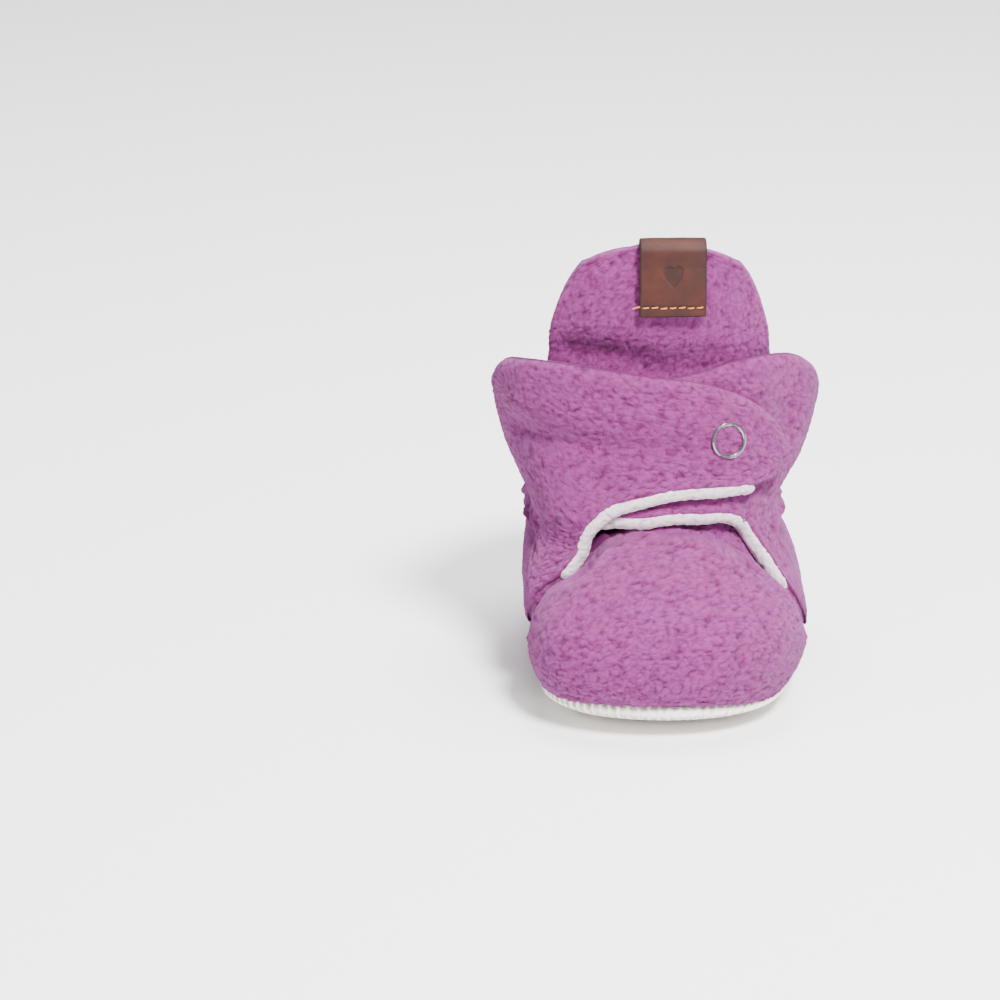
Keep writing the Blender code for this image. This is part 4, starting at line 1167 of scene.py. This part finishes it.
# ================================================================ label
LABEL_LEFT, LABEL_WIDTH, LABEL_TOP, LABEL_DROP = -7.8, 17.6, 119.2, 18.6
LABEL_LOW, FOLD_LOW, FOLD_RISE = LABEL_TOP - LABEL_DROP, LABEL_TOP - 1.6, 1.9
LABEL_COLUMNS, LABEL_ROWS, FOLD_ROWS = 84, 96, 22
LABEL_THICK = 1.25
LABEL_AHEAD, LEAF_APART = 2.3, 7.6
HEART_X, HEART_Z, HEART_SIZE = 1.0, 111.2, 2.6
STITCH_Z = LABEL_LOW + 2.6
STITCHES, STITCH_PITCH, STITCH_HALF = 7, 2.37, 0.9
THREAD_RADIUS, THREAD_SIDES = 0.23, 8


def tongue_front_y(x, z):
    """Face of the tongue behind the label."""
    share = np.clip(np.abs(x - TONGUE_CENTRE) / TONGUE_HALF_WIDTH, 0, 0.98)
    alpha = np.arcsin(share ** (1 / DOME_POWER))
    return curve(TONGUE_PROFILE, z) + curve(TONGUE_DEPTH_Y[2:], z) * (1 - np.cos(alpha) ** DOME_POWER)


def heart(x, z):
    """Signed shape value of a plain heart, above 0 inside."""
    x, z = (x - HEART_X) / HEART_SIZE, (z - HEART_Z) / HEART_SIZE
    return 1 - x * x - (z - 0.72 * np.sqrt(np.abs(x) + 0.003) + 0.2) ** 2


def label_line(x):
    """Line over the label: up the front leaf, over the fold and down the rear leaf."""
    z = LABEL_LOW + (FOLD_LOW - LABEL_LOW) * np.linspace(0, 1, LABEL_ROWS)
    y = tongue_front_y(x, np.minimum(z, 113.5)) - LABEL_AHEAD - 0.18 * ease(LABEL_LOW + 7, LABEL_LOW, z)
    turn = np.linspace(0, math.pi, FOLD_ROWS)[1:-1]
    fold_y = y[-1] + LEAF_APART / 2 * (1 - np.cos(turn))
    y = np.concatenate([y, fold_y, (y + LEAF_APART)[::-4]])
    z = np.concatenate([z, FOLD_LOW + FOLD_RISE * np.sin(turn), z[::-4]])
    return np.stack([np.full_like(y, x), y, z], -1)


def make_label():
    """Leather strip folded over the tongue's top edge, with a stamped plain heart."""
    columns = np.linspace(0, 1, LABEL_COLUMNS)
    grid = np.stack([label_line(x) for x in LABEL_LEFT + LABEL_WIDTH * columns])
    x, _, z = np.moveaxis(grid, -1, 0)
    out = normals(grid, 1)
    if out[40, 30, 1] > 0:
        out = -out
    travel = np.append(0, np.cumsum(np.linalg.norm(np.diff(grid[40], axis=0), axis=-1)))
    side = np.minimum(columns, 1 - columns)[:, None] * LABEL_WIDTH
    edge = np.minimum(side, np.minimum(travel, travel[-1] - travel)[None])
    in_front = (np.arange(grid.shape[1]) < LABEL_ROWS)[None]
    stamp = ease(-0.05, 0.12, heart(x, z)) * in_front
    seam = hump(STITCH_Z, 0.55, z) * in_front * ease(0.3, 1.2, side)
    shift = -edge_round(edge, 0.6, 0.45) - 0.28 * stamp - 0.22 * seam + 0.1 * noise(grid, 5.0)
    shift = shift + 0.3 * hump(0.5, 0.35, columns)[:, None] * ease(LABEL_LOW + 5, LABEL_LOW + 14, z)
    outer = grid + out * (LABEL_THICK / 2 + shift)[..., None]
    inner = grid - out * (LABEL_THICK / 2)
    burn = np.clip(ease(0.75, 0.15, edge) + 0.62 * stamp + 0.35 * seam, 0, 1)
    label = cloth("leather_label_strip", leather, *(part[:, ::-1] for part in (outer, inner, burn)), 0.75)
    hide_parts("leather_label")
    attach(label, "tongue")


def stitch_paths():
    """A row of stitches, and the loose tail of their thread."""
    paths = []
    for k in range(STITCHES):
        middle = LABEL_LEFT + 1.7 + k * STITCH_PITCH
        y = float(tongue_front_y(middle, STITCH_Z)) - LABEL_AHEAD - LABEL_THICK / 2 + 0.12
        z = STITCH_Z + 0.1 * math.sin(k * 2.1)
        along = np.linspace(-STITCH_HALF, STITCH_HALF, 9)
        paths.append(np.stack([middle + along, y - 0.34 * np.cos(along / 0.95 * math.pi / 2),
                               z + 0.12 * along], -1))
    t = np.linspace(0, 1, 10)
    tail_y = float(tongue_front_y(LABEL_LEFT, STITCH_Z)) - LABEL_AHEAD - 0.55
    paths.append(np.stack([LABEL_LEFT + 0.7 - t * 2.6, tail_y + 0.3 * t,
                           STITCH_Z - 0.1 + 0.25 * np.sin(t * 5)], -1))
    return paths


def make_stitches():
    """Short round threads as one mesh."""
    verts, faces = [], []
    turns = np.linspace(0, 2 * math.pi, THREAD_SIDES, endpoint=False)[None, :, None]
    for path in stitch_paths():
        travel = unit(np.gradient(path, axis=0))
        side = unit(np.cross(travel, [0.1, 0.2, 1.0]))
        up = np.cross(travel, side)
        t = np.linspace(-1, 1, len(path))[:, None, None]
        slim = np.clip(np.sqrt(np.clip(1 - t ** 6, 0.05, 1)), 0.35, 1)
        around = np.cos(turns) * side[:, None] + np.sin(turns) * up[:, None]
        faces += tube_faces(len(path), THREAD_SIDES, len(verts))
        verts.extend((path[:, None] + THREAD_RADIUS * slim * around).reshape(-1, 3))
    threads = mesh_object("label_stitches", np.array(verts), faces, tan_thread)
    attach(threads, "tongue")


make_label()
make_stitches()


# ================================================================ kept CAD nodes
for node, look in (("snap_ring", steel), ("snap_socket", steel), ("snap_stud", steel),
                   ("snap_back_ring", steel), ("ankle_elastic", knit)):
    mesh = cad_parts[node].data
    mesh.materials.clear()
    mesh.materials.append(look)


# ================================================================ floor, light and camera
FLOOR_HALF = 3000.0
FLOOR_COLOUR = (0.92, 0.92, 0.92, 1)
LIGHTS = [  # name, place, target, size, power
    ("key", (0.32, -0.60, 1.0), (0, -0.01, 0.06), 0.35, 47.0),
    ("fill", (-0.85, -0.55, 0.5), (0, 0, 0.05), 0.7, 3.0),
    ("top", (0.1, 0.30, 1.1), (0, 0, 0.05), 0.7, 23.0),
]
SURROUND = 0.56
CAMERA_ELEVATION = math.radians(20.5)
CAMERA_DISTANCE = 1.0
CAMERA_TARGET = Vector((-0.0443, -0.02, 0.0521))
FRAME_WIDTH = 0.265
SENSOR_WIDTH = 36


def make_floor():
    """Pale floor under the bootie."""
    made, _, shader = shader_of("pale_floor")
    set_inputs(shader, {"Base Color": FLOOR_COLOUR, "Roughness": 0.9})
    plan = np.array([(-1, -1, 0), (1, -1, 0), (1, 1, 0), (-1, 1, 0)])
    floor = mesh_object("floor", plan * FLOOR_HALF, [[0, 1, 2, 3]], made)


def turn_to(thing, way):
    """Point a lamp or camera along a direction."""
    thing.rotation_mode = "QUATERNION"
    thing.rotation_quaternion = way.to_track_quat("-Z", "Y")
    bpy.context.collection.objects.link(thing)


def area_light(name, place, target, size, power):
    """Round soft lamp that points at a target."""
    light = bpy.data.lights.new(name, "AREA")
    light.shape = "DISK"
    light.size = size
    light.energy = power
    lamp = bpy.data.objects.new(name, light)
    lamp.location = place
    turn_to(lamp, Vector(target) - Vector(place))


def make_surround():
    """Even white light from all sides."""
    world = bpy.data.worlds.new("studio")
    world.use_nodes = True
    set_inputs(world.node_tree.nodes["Background"], {"Color": (1, 1, 1, 1), "Strength": SURROUND})
    bpy.context.scene.world = world


def make_camera():
    """Camera in front of the bootie, looking slightly down."""
    camera = bpy.data.objects.new("camera", bpy.data.cameras.new("camera"))
    back = Vector((0, -math.cos(CAMERA_ELEVATION), math.sin(CAMERA_ELEVATION)))
    camera.location = CAMERA_TARGET + back * CAMERA_DISTANCE
    camera.data.sensor_width = SENSOR_WIDTH
    camera.data.lens = SENSOR_WIDTH * CAMERA_DISTANCE / FRAME_WIDTH
    turn_to(camera, -back)
    bpy.context.scene.camera = camera


make_floor()
for lamp_values in LIGHTS:
    area_light(*lamp_values)
make_surround()
make_camera()
